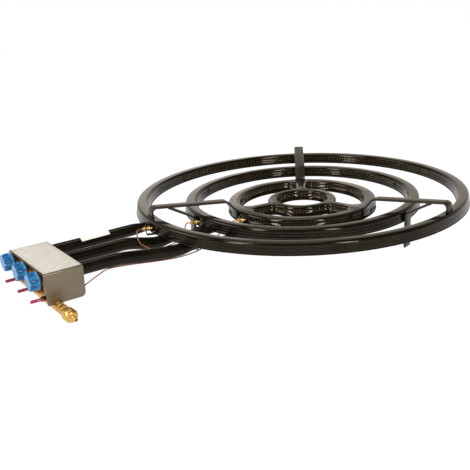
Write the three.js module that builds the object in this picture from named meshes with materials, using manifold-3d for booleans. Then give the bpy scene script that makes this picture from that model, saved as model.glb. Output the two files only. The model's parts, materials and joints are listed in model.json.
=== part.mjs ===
import * as THREE from "three";
import { mergeVertices } from "three/addons/utils/BufferGeometryUtils.js";
import Module from "manifold-3d";

// A gas burner for paella pans: three flame rings on welded flat bars, fed from a control box.
// Millimetres, +Z up, floor at Z 0. The control box stands towards -Y, the rings towards +Y.
// All places below are measured from the rings' common axis. The last group moves them, so that
// the origin lies on the floor under the middle of the whole object.

const wasm = await Module();
wasm.setup();

// Driving dimensions of the rings
const ringTop = 84; // top face of the outer ring above the floor
const outerRadius = 350;
const middleRadius = 249.5;
const innerRadius = 158;
const centreRadius = 73; // small ring inside the inner one
const centreWidth = 19;
const ringWidth = 23;
const ringHeight = 22;
const middleDrop = 9.2; // the rings step down towards the middle
const innerDrop = 19.5;
const ringSheet = 1.5;
const ringLip = 1.2; // the pan stands out beyond the channel
const shoulderRadius = 2.5;
const seat = 0.3; // clearance between two pieces that touch
const overrun = 5; // how far a cutter reaches past what it cuts

// Driving dimensions of the bars
const supportAngles = [15, 141.5, 261];
const barWidth = 22;
const barThickness = 4;
const supportRise = 18.5; // of the bar's middle over the outer ring
const kneeRise = 3.5; // of the bar's middle over the outer ring's top, at its inner end
const kneeReach = 22; // from the inner ring's wall out to the knee
const legOverlap = 14; // of the support's inner leg with the inner ring's wall
const supportBend = 9;
const bracketReach = 33; // from the support's foot inwards to the bracket's weld
const bracketBendDrop = 6; // of the bracket's bend under the middle ring's top
const bracketBend = 7;

// Driving dimensions of the control box and its gas parts
const tubeReach = 184; // from the outer ring to the back of the control box
const valvePitch = 60;
const sideRoom = 20; // from an outer tap's axis to the cover's side
const boxDepth = 68;
const boxTop = 77;
const boxBottom = 22;
const boxSheet = 1.2;
const boxBend = 2;
const boxSlope = 2; // the side's lower back corner stands further forward
const frontCorner = 3;
const rearCorner = 8;
const hemDepth = 2.5;
const tapHeight = 63;
const tapRadius = 10;
const tapDepth = 34;
const valveSetback = 6; // of the valve's front behind the cover's front edge
const safetyHeight = 29;
const safetyRadius = 10;
const safetyDepth = 38;
const towerWidth = 18;
const towerDepth = 24;
const stemRadius = 3;
const runningGap = 0.1;
const knobRadius = 15.4;
const knobLength = 12;
const knobLobes = 8;
const lobeDepth = 2.2;
const knobRound = 1.6;
const collarRadius = 14;
const collarThickness = 5.6;
const buttonRadius = 2.8;
const buttonReach = 18.5; // how far a released button stands out of its gland
const buttonTravel = 6;
const railHeight = 16;
const railSetback = 18.5; // of the rail's axis behind the cover's front edge
const railRadius = 9;
const railBore = 6;
const tubeRadius = 11;
const tubeWall = 1.2;

// Counts of facets
const outerFacets = 56;
const middleFacets = 44;
const innerFacets = 44;
const tubeFacets = 12;
const turnedFacets = 12;
const nutSides = 6;
const arcSteps = 3;

// Levels and places that follow from the driving dimensions
const ringBottom = ringTop - ringHeight;
const middleTop = ringTop - middleDrop;
const middleBottom = middleTop - ringHeight;
const innerTop = ringTop - innerDrop;
const innerBottom = innerTop - ringHeight;
const boxWidth = 2 * (valvePitch + sideRoom);
const boxRear = -outerRadius - tubeReach;
const boxFront = boxRear - boxDepth;
const valveFront = boxFront + valveSetback;

const enamel = new THREE.MeshStandardMaterial({ color: 0x14110e, roughness: 0.18, metalness: 0 });
const barSteel = new THREE.MeshStandardMaterial({ color: 0x1b1815, roughness: 0.45, metalness: 0 });
const stainless = new THREE.MeshStandardMaterial({ color: 0x9b907d, roughness: 0.35, metalness: 0.9 });
const brass = new THREE.MeshStandardMaterial({ color: 0xb98a3e, roughness: 0.28, metalness: 1 });
const copper = new THREE.MeshStandardMaterial({ color: 0xb4623a, roughness: 0.3, metalness: 1 });
const blueGrip = new THREE.MeshStandardMaterial({ color: 0x1e7fc4, roughness: 0.32, metalness: 0 });
const blackPlastic = new THREE.MeshStandardMaterial({ color: 0x17171a, roughness: 0.4, metalness: 0 });
const redRod = new THREE.MeshStandardMaterial({ color: 0xa8324a, roughness: 0.25, metalness: 0 });

// A closed geometry as a solid that faces outwards.
function solidOf(geometry) {
  const bare = new THREE.BufferGeometry();
  bare.setAttribute("position", geometry.getAttribute("position"));
  bare.setIndex(geometry.getIndex());
  const merged = mergeVertices(bare);
  const corners = merged.getIndex().array;
  const faces = [];
  for (let i = 0; i < corners.length; i += 3) {
    const [a, b, c] = corners.slice(i, i + 3);
    if (a !== b && b !== c && c !== a) faces.push(a, b, c);
  }
  const vertProperties = merged.getAttribute("position").array;
  const make = (list) =>
    new wasm.Manifold(new wasm.Mesh({ numProp: 3, vertProperties, triVerts: Uint32Array.from(list) }));
  const solid = make(faces);
  return solid.volume() > 0 ? solid : make(faces.reverse());
}

function geometryOf(solid) {
  const cut = solid.getMesh();
  const geometry = new THREE.BufferGeometry();
  geometry.setAttribute("position", new THREE.BufferAttribute(cut.vertProperties, 3));
  geometry.setIndex(new THREE.BufferAttribute(cut.triVerts, 1));
  geometry.computeVertexNormals();
  return geometry;
}

function piece(name, solid, material, parent) {
  const mesh = new THREE.Mesh(geometryOf(solid), material);
  mesh.name = name;
  parent.add(mesh);
  return mesh;
}

// Forms that turn about the Z axis, from a closed outline of [radius, height] points.
function revolve(outline, facets) {
  const points = outline.map(([r, z]) => new THREE.Vector2(r, z));
  points.push(points[0].clone());
  return solidOf(new THREE.LatheGeometry(points, facets).rotateX(Math.PI / 2));
}

// Turned forms that lie along an axis, from steps of [place along it, radius].
function turned(steps, axis, facets = turnedFacets) {
  const points = steps.map(([place, r]) => new THREE.Vector2(r, place));
  points.unshift(new THREE.Vector2(0, steps[0][0]));
  points.push(new THREE.Vector2(0, steps[steps.length - 1][0]));
  const geometry = new THREE.LatheGeometry(points, facets);
  return solidOf(axis === "x" ? geometry.rotateZ(-Math.PI / 2) : geometry);
}

function block(lowX, highX, lowY, highY, lowZ, highZ) {
  const box = new THREE.BoxGeometry(highX - lowX, highY - lowY, highZ - lowZ);
  return solidOf(box.translate((lowX + highX) / 2, (lowY + highY) / 2, (lowZ + highZ) / 2));
}

// A flat outline given in [along, up], as thick as width, centred on the plane that it stands in.
// It stands in the XZ plane, or after a quarter turn in the YZ plane.
function plate(shape, width) {
  const geometry = new THREE.ExtrudeGeometry(shape, { depth: width, bevelEnabled: false });
  return solidOf(geometry.translate(0, 0, -width / 2).rotateX(Math.PI / 2));
}

// The side view of a flat bar that is bent at each inner corner of its middle line.
function bentBar(corners, bend, thickness) {
  const line = corners.map(([x, y]) => new THREE.Vector2(x, y));
  const left = [];
  const right = [];
  const mark = (point, direction) => {
    const side = new THREE.Vector2(-direction.y, direction.x).multiplyScalar(thickness / 2);
    left.push(point.clone().add(side));
    right.push(point.clone().sub(side));
  };
  const directions = line.slice(1).map((point, i) => point.clone().sub(line[i]).normalize());
  mark(line[0], directions[0]);
  for (let i = 1; i < line.length - 1; i++) {
    const [before, after] = [directions[i - 1], directions[i]];
    const turn = Math.atan2(before.cross(after), before.dot(after));
    const start = line[i].clone().addScaledVector(before, -bend * Math.tan(Math.abs(turn) / 2));
    const toCentre = new THREE.Vector2(-before.y, before.x).multiplyScalar(Math.sign(turn) * bend);
    const centre = start.clone().add(toCentre);
    for (let step = 0; step <= arcSteps; step++) {
      const angle = (turn * step) / arcSteps;
      const direction = before.clone().rotateAround(new THREE.Vector2(), angle);
      mark(start.clone().rotateAround(centre, angle), direction);
    }
  }
  mark(line[line.length - 1], directions[directions.length - 1]);
  return new THREE.Shape([...left, ...right.reverse()]);
}

// Rings: an inverted trough, and the pan that closes it from below
function ringChannel(radius, top, bottom, facets) {
  const inside = radius - ringWidth;
  const foot = bottom + ringSheet + seat;
  const outline = [[radius, foot]];
  for (let step = 0; step <= 2; step++) {
    const angle = ((Math.PI / 2) * step) / 2;
    outline.push([
      radius - shoulderRadius + shoulderRadius * Math.cos(angle),
      top - shoulderRadius + shoulderRadius * Math.sin(angle),
    ]);
  }
  for (let step = 2; step >= 0; step--) {
    const angle = ((Math.PI / 2) * step) / 2;
    outline.push([
      inside + shoulderRadius - shoulderRadius * Math.cos(angle),
      top - shoulderRadius + shoulderRadius * Math.sin(angle),
    ]);
  }
  outline.push([inside, foot]);
  outline.push([inside + ringSheet, foot]);
  outline.push([inside + ringSheet, top - ringSheet]);
  outline.push([radius - ringSheet, top - ringSheet]);
  outline.push([radius - ringSheet, foot]);
  return revolve(outline, facets);
}

// A flat band between two radii and two levels.
function band(inner, outer, low, high, facets) {
  return revolve([[inner, low], [outer, low], [outer, high], [inner, high]], facets);
}

function ringPan(radius, bottom, facets) {
  return band(radius - ringWidth - ringLip, radius + ringLip, bottom, bottom + ringSheet, facets);
}

// The space that a ring takes up, with its seat, for cutting the tubes that meet it.
function ringSpace(radius, bottom, facets) {
  const room = ringLip + seat;
  return band(radius - ringWidth - room, radius + room, bottom - seat, ringTop + overrun, facets);
}

// The inner ring in plan: outer circle, centre hole and three windows between the bridges.
// Growing it moves every edge outwards by the same amount.
const bridgeHalf = 12;
const windowFillet = 16;
const windowSteps = 5;

function innerPlan(grow) {
  const circle = (radius, facets) => {
    const points = [];
    for (let i = 0; i < facets; i++) {
      const angle = (2 * Math.PI * i) / facets;
      points.push(new THREE.Vector2(radius * Math.cos(angle), radius * Math.sin(angle)));
    }
    return points;
  };
  const plan = new THREE.Shape(circle(innerRadius + grow, innerFacets));
  plan.holes.push(new THREE.Path(circle(centreRadius - centreWidth - grow, innerFacets / 2)));
  const far = innerRadius - ringWidth;
  const near = centreRadius;
  const fillet = windowFillet - grow;
  const offset = bridgeHalf + windowFillet;
  supportAngles.forEach((degrees, index) => {
    const next = supportAngles[(index + 1) % supportAngles.length] + (index === 2 ? 360 : 0);
    const [from, to] = [degrees, next].map(THREE.MathUtils.degToRad);
    const arc = (centre, radius, start, end, steps) => {
      const points = [];
      for (let i = 0; i <= steps; i++) {
        const angle = start + ((end - start) * i) / steps;
        points.push(new THREE.Vector2(radius * Math.cos(angle), radius * Math.sin(angle)).add(centre));
      }
      return points;
    };
    // A fillet's centre lies the same distance from its bridge, and from the arc that it meets.
    const centreAt = (bridge, side, reach) => {
      const along = Math.sqrt(reach * reach - offset * offset);
      return new THREE.Vector2(along, side * offset).rotateAround(new THREE.Vector2(), bridge);
    };
    const farReach = far - windowFillet;
    const nearReach = near + windowFillet;
    const farLean = Math.asin(offset / farReach);
    const nearLean = Math.asin(offset / nearReach);
    const axis = new THREE.Vector2();
    const quarter = Math.PI / 2;
    const round = (bridge, side, reach, start, end) =>
      arc(centreAt(bridge, side, reach), fillet, start, end, windowSteps);
    const points = [
      ...round(from, 1, farReach, from - quarter, from + farLean),
      ...arc(axis, far - grow, from + farLean, to - farLean, windowSteps * 2).slice(1, -1),
      ...round(to, -1, farReach, to - farLean, to + quarter),
      ...round(to, -1, nearReach, to + quarter, to + 2 * quarter - nearLean),
      ...arc(axis, near + grow, to - nearLean, from + nearLean, windowSteps).slice(1, -1),
      ...round(from, 1, nearReach, from - 2 * quarter + nearLean, from - quarter),
    ];
    plan.holes.push(new THREE.Path(points));
  });
  return plan;
}

function innerLayer(grow, low, high, round = 0) {
  const geometry = new THREE.ExtrudeGeometry(innerPlan(grow - round), {
    depth: high - low - 2 * round,
    bevelEnabled: round > 0,
    bevelSize: round,
    bevelThickness: round,
    bevelSegments: 2,
  });
  return solidOf(geometry.translate(0, 0, low + round));
}

function innerChannel() {
  const foot = innerBottom + ringSheet + seat;
  const whole = innerLayer(0, foot - overrun, innerTop, shoulderRadius);
  const reach = innerRadius + overrun;
  const under = block(-reach, reach, -reach, reach, foot - 2 * overrun, foot);
  const hollow = innerLayer(-ringSheet, foot - overrun, innerTop - ringSheet);
  return whole.subtract(under).subtract(hollow);
}

// Mixing tubes: round up to the outer ring, pressed flatter as they pass under a ring, and let in
// under their own
const mouthDepth = 14; // of the tube's mouth inside the box
const leadLength = 45; // of the level stretch behind the box
const tubeLean = 5; // of the outer tubes, away from the middle one
const middleTubeShift = 8;
const middleDip = 75; // of the stretch in which the middle tube comes down to the outer ring
const dentLength = 30; // of the stretch in which the outer tube's end is pressed flatter
const dentShare = 0.8; // of the tube's height that is left behind the outer ring's wall
const flatShare = 0.6;
const flatWidthShare = 1.2;
const letInShare = 0.4; // of the flattened height that stays below the ring
const inletRadius = 6;
const rampSteps = 3;

const edgeAt = (radius, x) => -Math.sqrt(radius * radius - x * x);
const inletAt = (radius, x) => edgeAt(radius - ringWidth / 2, x);
const station = (x, y, z, tall = 1, wide = 1) => ({ x, y, z, tall, wide });

// The two stations of a tube that passes under a ring, at the ring's outer and inner edge.
function underRing(radius, bottom, x, entryShare, exitShare) {
  const level = (share) => bottom - 2 * seat - tubeRadius * share;
  return [
    station(x, edgeAt(radius + ringLip, x), level(entryShare), entryShare),
    station(x, edgeAt(radius - ringWidth - ringLip, x), level(exitShare), exitShare, flatWidthShare),
  ];
}

// The two stations of a tube's end under its own ring: at the ring's edge and past its inlet.
function intoRing(radius, x, level, entryShare, entryWidthShare) {
  return [
    station(x, edgeAt(radius + ringLip, x), level, entryShare, entryWidthShare),
    station(x, inletAt(radius, x) + inletRadius + 2 * tubeWall, level, flatShare),
  ];
}

const outerTubeX = -valvePitch - tubeLean;
const innerTubeX = valvePitch + tubeLean;
const letIn = tubeRadius * flatShare * letInShare;
const outOfBox = (x) => [
  station(x, boxRear - mouthDepth, tapHeight),
  station(x, boxRear + leadLength, tapHeight),
];
const outerTubeStations = [
  ...outOfBox(-valvePitch),
  station(outerTubeX, edgeAt(outerRadius, outerTubeX) - dentLength, tapHeight),
  ...intoRing(outerRadius, outerTubeX, tapHeight, dentShare, 1),
];
const middleTubeStations = [
  ...outOfBox(0),
  station(0, edgeAt(outerRadius, 0) - middleDip, tapHeight),
  ...underRing(outerRadius, ringBottom, 0, 1, dentShare),
  ...intoRing(middleRadius, middleTubeShift, middleBottom - letIn, flatShare, flatWidthShare),
];
const innerTubeStations = [
  ...outOfBox(valvePitch),
  ...underRing(outerRadius, ringBottom, innerTubeX, 1, dentShare),
  ...underRing(middleRadius, middleBottom, innerTubeX, flatShare, flatShare),
  ...intoRing(innerRadius, innerTubeX, innerBottom - letIn, flatShare, flatWidthShare),
];

// A tube eases from one station to the next.
function tubeRows(stations) {
  const rows = [stations[0]];
  stations.slice(1).forEach((to, i) => {
    const from = stations[i];
    const steps = from.z === to.z && from.x === to.x ? 1 : rampSteps;
    for (let step = 1; step <= steps; step++) {
      const share = THREE.MathUtils.smoothstep(step, 0, steps);
      const mix = (key) => THREE.MathUtils.lerp(from[key], to[key], share);
      const y = THREE.MathUtils.lerp(from.y, to.y, step / steps);
      rows.push(station(mix("x"), y, mix("z"), mix("tall"), mix("wide")));
    }
  });
  return rows;
}

// The tube's outside, or its bore where it is drawn in by the wall.
function tubeBody(rows, drawnIn, startReach, endReach) {
  const geometry = new THREE.CylinderGeometry(1, 1, 1, tubeFacets, rows.length - 1);
  const position = geometry.getAttribute("position");
  for (let i = 0; i < position.count; i++) {
    const index = Math.round((1 / 2 - position.getY(i)) * (rows.length - 1));
    const row = rows[index];
    const before = rows[Math.max(index - 1, 0)];
    const after = rows[Math.min(index + 1, rows.length - 1)];
    const along = new THREE.Vector3(after.x - before.x, after.y - before.y, after.z - before.z).normalize();
    const side = new THREE.Vector3(along.y, -along.x, 0).normalize();
    const up = new THREE.Vector3().crossVectors(side, along);
    const place = new THREE.Vector3(row.x, row.y, row.z);
    if (index === 0) place.addScaledVector(along, -startReach);
    if (index === rows.length - 1) place.addScaledVector(along, endReach);
    place.addScaledVector(side, position.getX(i) * (tubeRadius * row.wide - drawnIn));
    place.addScaledVector(up, position.getZ(i) * (tubeRadius * row.tall - drawnIn));
    position.setXYZ(i, place.x, place.y, place.z);
  }
  return solidOf(geometry);
}

function mixingTube(stations, ownRing) {
  const rows = tubeRows(stations);
  const bore = tubeBody(rows, tubeWall, overrun, -tubeWall);
  return tubeBody(rows, 0, 0, 0).subtract(bore).subtract(ownRing);
}

function inletHole(radius, bottom, x) {
  const hole = new THREE.CylinderGeometry(inletRadius, inletRadius, ringHeight, turnedFacets);
  return solidOf(hole.rotateX(Math.PI / 2).translate(x, inletAt(radius, x), bottom));
}

// Pan supports and leg brackets, drawn in side view as [distance from the rings' axis, height]
const footRadius = outerRadius - ringWidth / 2;
const kneeRadius = innerRadius + kneeReach;
const legRadius = innerRadius + seat + barThickness / 2;
const shoulderLevel = ringTop + supportRise;
const kneeLevel = ringTop + kneeRise;
const supportLine = [
  [footRadius, ringTop + seat],
  [footRadius, shoulderLevel],
  [kneeRadius, kneeLevel],
  [legRadius, innerTop],
  [legRadius, innerTop - legOverlap],
];
const weldRadius = footRadius - bracketReach;
const weldShare = (weldRadius - kneeRadius) / (footRadius - kneeRadius);
const weldLevel = THREE.MathUtils.lerp(kneeLevel, shoulderLevel, weldShare);
const tabRadius = middleRadius + ringLip + seat + barThickness / 2;
const bracketLine = [
  [weldRadius, weldLevel],
  [tabRadius, middleTop - bracketBendDrop],
  [tabRadius, 0],
];

function panSupport() {
  return plate(bentBar(supportLine, supportBend, barThickness), barWidth);
}

function legBracket() {
  const space = plate(bentBar(supportLine, supportBend, barThickness + 2 * seat), barWidth + 2 * overrun);
  return plate(bentBar(bracketLine, bracketBend, barThickness), barWidth).subtract(space);
}

// Control box
const railY = boxFront + railSetback;

// A flat outline whose corners are [along, up, rounding].
function roundedShape(corners) {
  const shape = new THREE.Shape();
  corners.forEach(([x, y, radius], i) => {
    const here = new THREE.Vector2(x, y);
    const towards = (corner) =>
      new THREE.Vector2(...corner.slice(0, 2)).sub(here).setLength(radius).add(here);
    const start = towards(corners.at(i - 1));
    const end = towards(corners[(i + 1) % corners.length]);
    if (i === 0) shape.moveTo(start.x, start.y);
    else shape.lineTo(start.x, start.y);
    if (radius > 0) shape.quadraticCurveTo(x, y, end.x, end.y);
  });
  shape.closePath();
  return shape;
}

// The coordinates of an upright plate, turned so that its outline stands in the YZ plane.
const acrossX = (solid) => solid.rotate([0, 0, 90]);

function controlCover() {
  const half = (boxWidth - boxSheet) / 2;
  const crown = boxTop - boxSheet / 2;
  const foot = boxBottom - overrun;
  const line = [[-half, foot], [-half, crown], [half, crown], [half, foot]];
  const hood = plate(bentBar(line, boxBend, boxSheet), boxDepth + 2 * overrun);
  const side = roundedShape([
    [boxFront, boxTop + overrun, 0],
    [boxFront, boxBottom, frontCorner],
    [boxRear - boxSlope, boxBottom, rearCorner],
    [boxRear, boxTop, 0],
    [boxRear, boxTop + overrun, 0],
  ]);
  const reach = half - boxBend;
  const hems = [boxFront, boxRear - boxSheet].map((y) =>
    block(-reach, reach, y, y + boxSheet, boxTop - hemDepth, crown),
  );
  const notch = turned([[-boxWidth, railRadius + seat], [boxWidth, railRadius + seat]], "x");
  return hood
    .translate([0, (boxFront + boxRear) / 2, 0])
    .intersect(acrossX(plate(side, boxWidth + 2 * overrun)))
    .add(hems[0])
    .add(hems[1])
    .subtract(notch.translate([0, railY, railHeight]));
}

const plateInset = 5; // of the tube plate in front of the cover's back edge
const plateFlange = 12;
const plateMargin = 6; // of the tube plate below the tubes
const plateSideGap = 2; // keeps the tube plate clear of the cover's bends

function tubePlate() {
  const half = (boxWidth - boxSheet) / 2 - boxSheet - plateSideGap;
  const back = boxRear - plateInset;
  const line = [[-half, back - plateFlange], [-half, back], [half, back], [half, back - plateFlange]];
  const low = tapHeight - tubeRadius - plateMargin;
  const depth = boxTop - boxSheet - seat - low;
  const outline = bentBar(line, boxBend, boxSheet);
  const folded = new THREE.ExtrudeGeometry(outline, { depth, bevelEnabled: false });
  const holeRadius = tubeRadius + seat;
  return [-valvePitch, 0, valvePitch].reduce((rest, x) => {
    const hole = new THREE.CylinderGeometry(holeRadius, holeRadius, 2 * plateFlange, 2 * tubeFacets);
    return rest.subtract(solidOf(hole.translate(x, back, tapHeight)));
  }, solidOf(folded.translate(0, 0, low)));
}

// Valves, drawn with their axes at X 0
const glandLength = 8;
const glandRadius = 5;
const buttonGuide = 4; // of a released button inside the valve
const buttonTip = 0.8;
const bonnetRadius = 7.5;
const stemDepth = 20; // inside the tap
const stemFlat = 1;
const stemInKnob = 8;
const bonnetFront = boxFront - seat;
const collarFront = bonnetFront - seat - collarThickness;
const knobFront = collarFront - seat - knobLength;
const tapBack = valveFront + tapDepth;
const safetyBack = valveFront + safetyDepth;
const glandFront = valveFront - seat - glandLength;
const buttonFront = glandFront - buttonReach;

// A round hole that lets a faceted pin of this radius turn in it.
const freeBore = (radius) => (radius + runningGap) / Math.cos(Math.PI / turnedFacets);
const alongY = (low, high, radius, facets) => turned([[low, radius], [high, radius]], "y", facets);

function valveBody() {
  const tower = block(
    -towerWidth / 2, towerWidth / 2, valveFront, valveFront + towerDepth, safetyHeight, tapHeight,
  );
  const buttonBore = alongY(
    valveFront - overrun, valveFront + buttonGuide + buttonTravel + seat, freeBore(buttonRadius),
  );
  const tap = alongY(valveFront, tapBack, tapRadius)
    .add(alongY(bonnetFront, valveFront + overrun, bonnetRadius))
    .subtract(alongY(bonnetFront - overrun, bonnetFront + stemDepth, freeBore(stemRadius)));
  const rail = turned([[-boxWidth, railRadius + seat], [boxWidth, railRadius + seat]], "x");
  const well = alongY(valveFront - overrun, bonnetFront + stemDepth, tapRadius / 2);
  return tower
    .add(alongY(valveFront, safetyBack, safetyRadius).translate([0, 0, safetyHeight]))
    .subtract(well.translate([0, 0, tapHeight]))
    .add(tap.translate([0, 0, tapHeight]))
    .subtract(buttonBore.translate([0, 0, safetyHeight]))
    .subtract(rail.translate([0, railY, railHeight]));
}

// The stem's front half has a flat, and grown it is the knob's socket.
function tapStem(grow) {
  const radius = stemRadius + grow;
  const front = collarFront - stemInKnob;
  const flatLevel = stemRadius - stemFlat + grow;
  const flat = block(-radius, radius, front - overrun, collarFront, flatLevel, 2 * stemRadius);
  const pin = alongY(front - grow, bonnetFront + stemDepth - seat, radius);
  return pin.subtract(flat).translate([0, 0, tapHeight]);
}

function knobCollar() {
  const bore = alongY(collarFront - overrun, bonnetFront + overrun, stemRadius + seat);
  const steps = [
    [collarFront, collarRadius - collarThickness / 2],
    [collarFront + collarThickness / 2, collarRadius],
    [collarFront + collarThickness, collarRadius],
  ];
  return turned(steps, "y", 2 * turnedFacets).subtract(bore).translate([0, 0, tapHeight]);
}

const knobLobePoints = 5;
const knobCapRadius = 9;
const knobCapHeight = 1.2;

function knob() {
  const count = knobLobes * knobLobePoints;
  const outline = [];
  for (let i = 0; i < count; i++) {
    const angle = (2 * Math.PI * i) / count;
    const radius = knobRadius - knobRound - (lobeDepth * (1 - Math.cos(knobLobes * angle))) / 2;
    outline.push(new THREE.Vector2(radius * Math.sin(angle), radius * Math.cos(angle)));
  }
  const body = new THREE.ExtrudeGeometry(new THREE.Shape(outline), {
    depth: knobLength - knobCapHeight - 2 * knobRound,
    bevelSize: knobRound,
    bevelThickness: knobRound,
    bevelSegments: 2,
  });
  const cap = alongY(knobFront, knobFront + knobLength / 2, knobCapRadius);
  return solidOf(body.rotateX(Math.PI / 2))
    .translate([0, knobFront + knobLength - knobRound, 0])
    .add(cap)
    .translate([0, 0, tapHeight])
    .subtract(tapStem(seat));
}

function buttonGland() {
  return alongY(glandFront, valveFront - seat, glandRadius, nutSides)
    .subtract(alongY(glandFront - overrun, valveFront + overrun, freeBore(buttonRadius)))
    .translate([0, 0, safetyHeight]);
}

function pushButton() {
  const steps = [
    [buttonFront, buttonRadius - buttonTip],
    [buttonFront + buttonTip, buttonRadius],
    [valveFront + buttonGuide, buttonRadius],
  ];
  return turned(steps, "y").translate([0, 0, safetyHeight]);
}

const jetHead = { radius: 6, length: 5 };
const jetNeck = { radius: 4, length: 7 };
const jetTip = { radius: 2.5, length: 4 };
const jetBore = 0.8;

function injector() {
  const start = tapBack + seat;
  const tip = start + jetHead.length + jetNeck.length + jetTip.length;
  const steps = [
    [start, jetHead.radius],
    [start + jetHead.length, jetHead.radius],
    [start + jetHead.length, jetNeck.radius],
    [tip - jetTip.length, jetNeck.radius],
    [tip, jetTip.radius],
  ];
  const bore = alongY(start - overrun, tip + overrun, jetBore, nutSides);
  return turned(steps, "y").subtract(bore).translate([0, 0, tapHeight]);
}

const magnetBody = { radius: 7, length: 12 };
const magnetNut = { radius: 4.5, length: 6 };
const magnetBack = safetyBack + seat + magnetBody.length + magnetNut.length;

function magnetUnit() {
  const start = safetyBack + seat;
  return alongY(start, start + magnetBody.length, magnetBody.radius)
    .add(alongY(start, magnetBack, magnetNut.radius, nutSides))
    .translate([0, 0, safetyHeight]);
}

// Gas supply, turned parts along the rail's axis, as [place along X, radius]
const plugOverhang = 8; // of the rail past the cover's left side
const fittingOverhang = 3; // of the rail past its right side
const railLeft = -boxWidth / 2 - plugOverhang;
const railRight = boxWidth / 2 + fittingOverhang;
const plugHead = { radius: 9, length: 6 };
const plugSpigot = 8;
const bandLength = 5;
const bandRadius = 9;
const bandCount = 3;
const grooveLength = 9;
const grooveRadius = 7.5;
const spigotRadius = 6;
const fittingBore = 3.5;
const nutRadius = 12.8;
const nutLength = 17;
const nutOverlap = 6; // of the nut over the fitting's spigot
const nutChamfer = 2;
const nutCrown = 13; // of the nut's domed stretch
const nutFaceRadius = 5;
const nozzleRadius = 3.5;
const nozzleFlange = 2.5;
const nozzleReach = 13;
const nozzleBore = 1.6;
const nozzleBoreSides = 8;

const fittingStart = railRight + seat;
const fittingEnd = fittingStart + bandCount * (bandLength + grooveLength) - grooveLength;
const nutStart = fittingEnd + seat;
const nutEnd = nutStart + nutLength;
const nozzleStart = fittingEnd + nutOverlap + seat;
const alongX = (low, high, radius, facets) => turned([[low, radius], [high, radius]], "x", facets);
const onRail = (solid) => solid.translate([0, railY, railHeight]);

function gasRail() {
  const bore = alongX(railLeft - overrun, railRight + overrun, railBore);
  return onRail(alongX(railLeft, railRight, railRadius).subtract(bore));
}

function railPlug() {
  const face = railLeft - seat;
  const head = alongX(face - plugHead.length, face, plugHead.radius, nutSides);
  return onRail(head.add(alongX(face - plugHead.length / 2, face + plugSpigot, railBore - seat)));
}

function inletFitting() {
  const steps = [];
  for (let i = 0; i < bandCount; i++) {
    const start = fittingStart + i * (bandLength + grooveLength);
    if (i > 0) steps.push([start - grooveLength, grooveRadius], [start, grooveRadius]);
    steps.push([start, bandRadius], [start + bandLength, bandRadius]);
  }
  const tip = fittingEnd + nutOverlap;
  steps.push([fittingEnd, spigotRadius], [tip, spigotRadius]);
  return onRail(turned(steps, "x").subtract(alongX(fittingStart - overrun, tip + overrun, fittingBore)));
}

function unionNut() {
  const dome = [[nutStart, nutRadius - nutChamfer], [nutStart + nutChamfer, nutRadius]];
  for (let step = 0; step <= arcSteps; step++) {
    const angle = ((Math.PI / 2) * step) / arcSteps;
    dome.push([
      nutEnd - nutCrown * (1 - Math.sin(angle)),
      nutFaceRadius + (nutRadius - nutFaceRadius) * Math.cos(angle),
    ]);
  }
  return onRail(
    alongX(nutStart, nutEnd, nutRadius, nutSides)
      .intersect(turned(dome, "x", 2 * turnedFacets))
      .subtract(alongX(nutStart - overrun, nozzleStart + nozzleFlange + seat, spigotRadius + seat))
      .subtract(alongX(nutStart, nutEnd + overrun, nozzleRadius + seat)),
  );
}

function hoseNozzle() {
  const tip = nutEnd + nozzleReach;
  const steps = [
    [nozzleStart, spigotRadius],
    [nozzleStart + nozzleFlange, spigotRadius],
    [nozzleStart + nozzleFlange, nozzleRadius],
    [tip, nozzleRadius],
  ];
  const bore = alongX(nozzleStart - overrun, tip + overrun, nozzleBore, nozzleBoreSides);
  return onRail(turned(steps, "x").subtract(bore));
}

// Thermocouples, drawn with their tips at the origin and their leads towards -Y
const probeLift = 11; // over the underside of the ring's pan
const probeTurn = -21; // degrees, away from the straight line to the rings' axis
const probeGap = 1.2; // between a tip and its ring's wall
const probe = { tip: 1.8, body: 3.4, nut: 4.6, tail: 2.2 };
const probeSteps = { tip: 5.5, nut: 8, body: 17, tail: 20 }; // from the tip backwards
const clip = { sheet: 1.2, width: 10, rise: 6.5, bend: 2, tongue: 6, windowWidth: 4, windowMargin: 3.5 };
const clipPlace = (probeSteps.nut + probeSteps.body) / 2;
const clipDrop = probeLift + seat + clip.sheet / 2;

function thermocouple() {
  return turned(
    [
      [-probeSteps.tail, probe.tail],
      [-probeSteps.body, probe.tail],
      [-probeSteps.body, probe.body],
      [-probeSteps.nut, probe.body],
      [-probeSteps.nut, probe.nut],
      [-probeSteps.tip, probe.nut],
      [-probeSteps.tip, probe.tip],
      [0, probe.tip],
    ],
    "y",
  );
}

function thermocoupleBracket() {
  const line = [[-clipPlace, clip.rise], [-clipPlace, -clipDrop], [clip.tongue, -clipDrop]];
  const strip = acrossX(plate(bentBar(line, clip.bend, clip.sheet), clip.width));
  const half = clip.windowWidth / 2;
  const window = block(
    -half, half, -clipPlace - overrun, -clipPlace + overrun,
    clip.windowMargin - clipDrop, -probe.body - clip.windowMargin / 2,
  );
  const hole = alongY(-clipPlace - overrun, -clipPlace + overrun, probe.body + seat);
  return strip.subtract(window).subtract(hole);
}

// Copper leads from the magnet units to the probes
const leadRadius = 1.1;
const leadSteps = 28;
const leadFacets = 8;
const leadStub = 5; // of the straight stretch at either end of a lead

function capillary(points) {
  const ring = [];
  for (let i = 0; i < leadFacets; i++) {
    const angle = (2 * Math.PI * i) / leadFacets;
    ring.push(new THREE.Vector2(leadRadius * Math.cos(angle), leadRadius * Math.sin(angle)));
  }
  const path = new THREE.CatmullRomCurve3(points.map((point) => new THREE.Vector3(...point)));
  const options = { steps: leadSteps, extrudePath: path, bevelEnabled: false };
  return solidOf(new THREE.ExtrudeGeometry(new THREE.Shape(ring), options));
}

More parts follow.
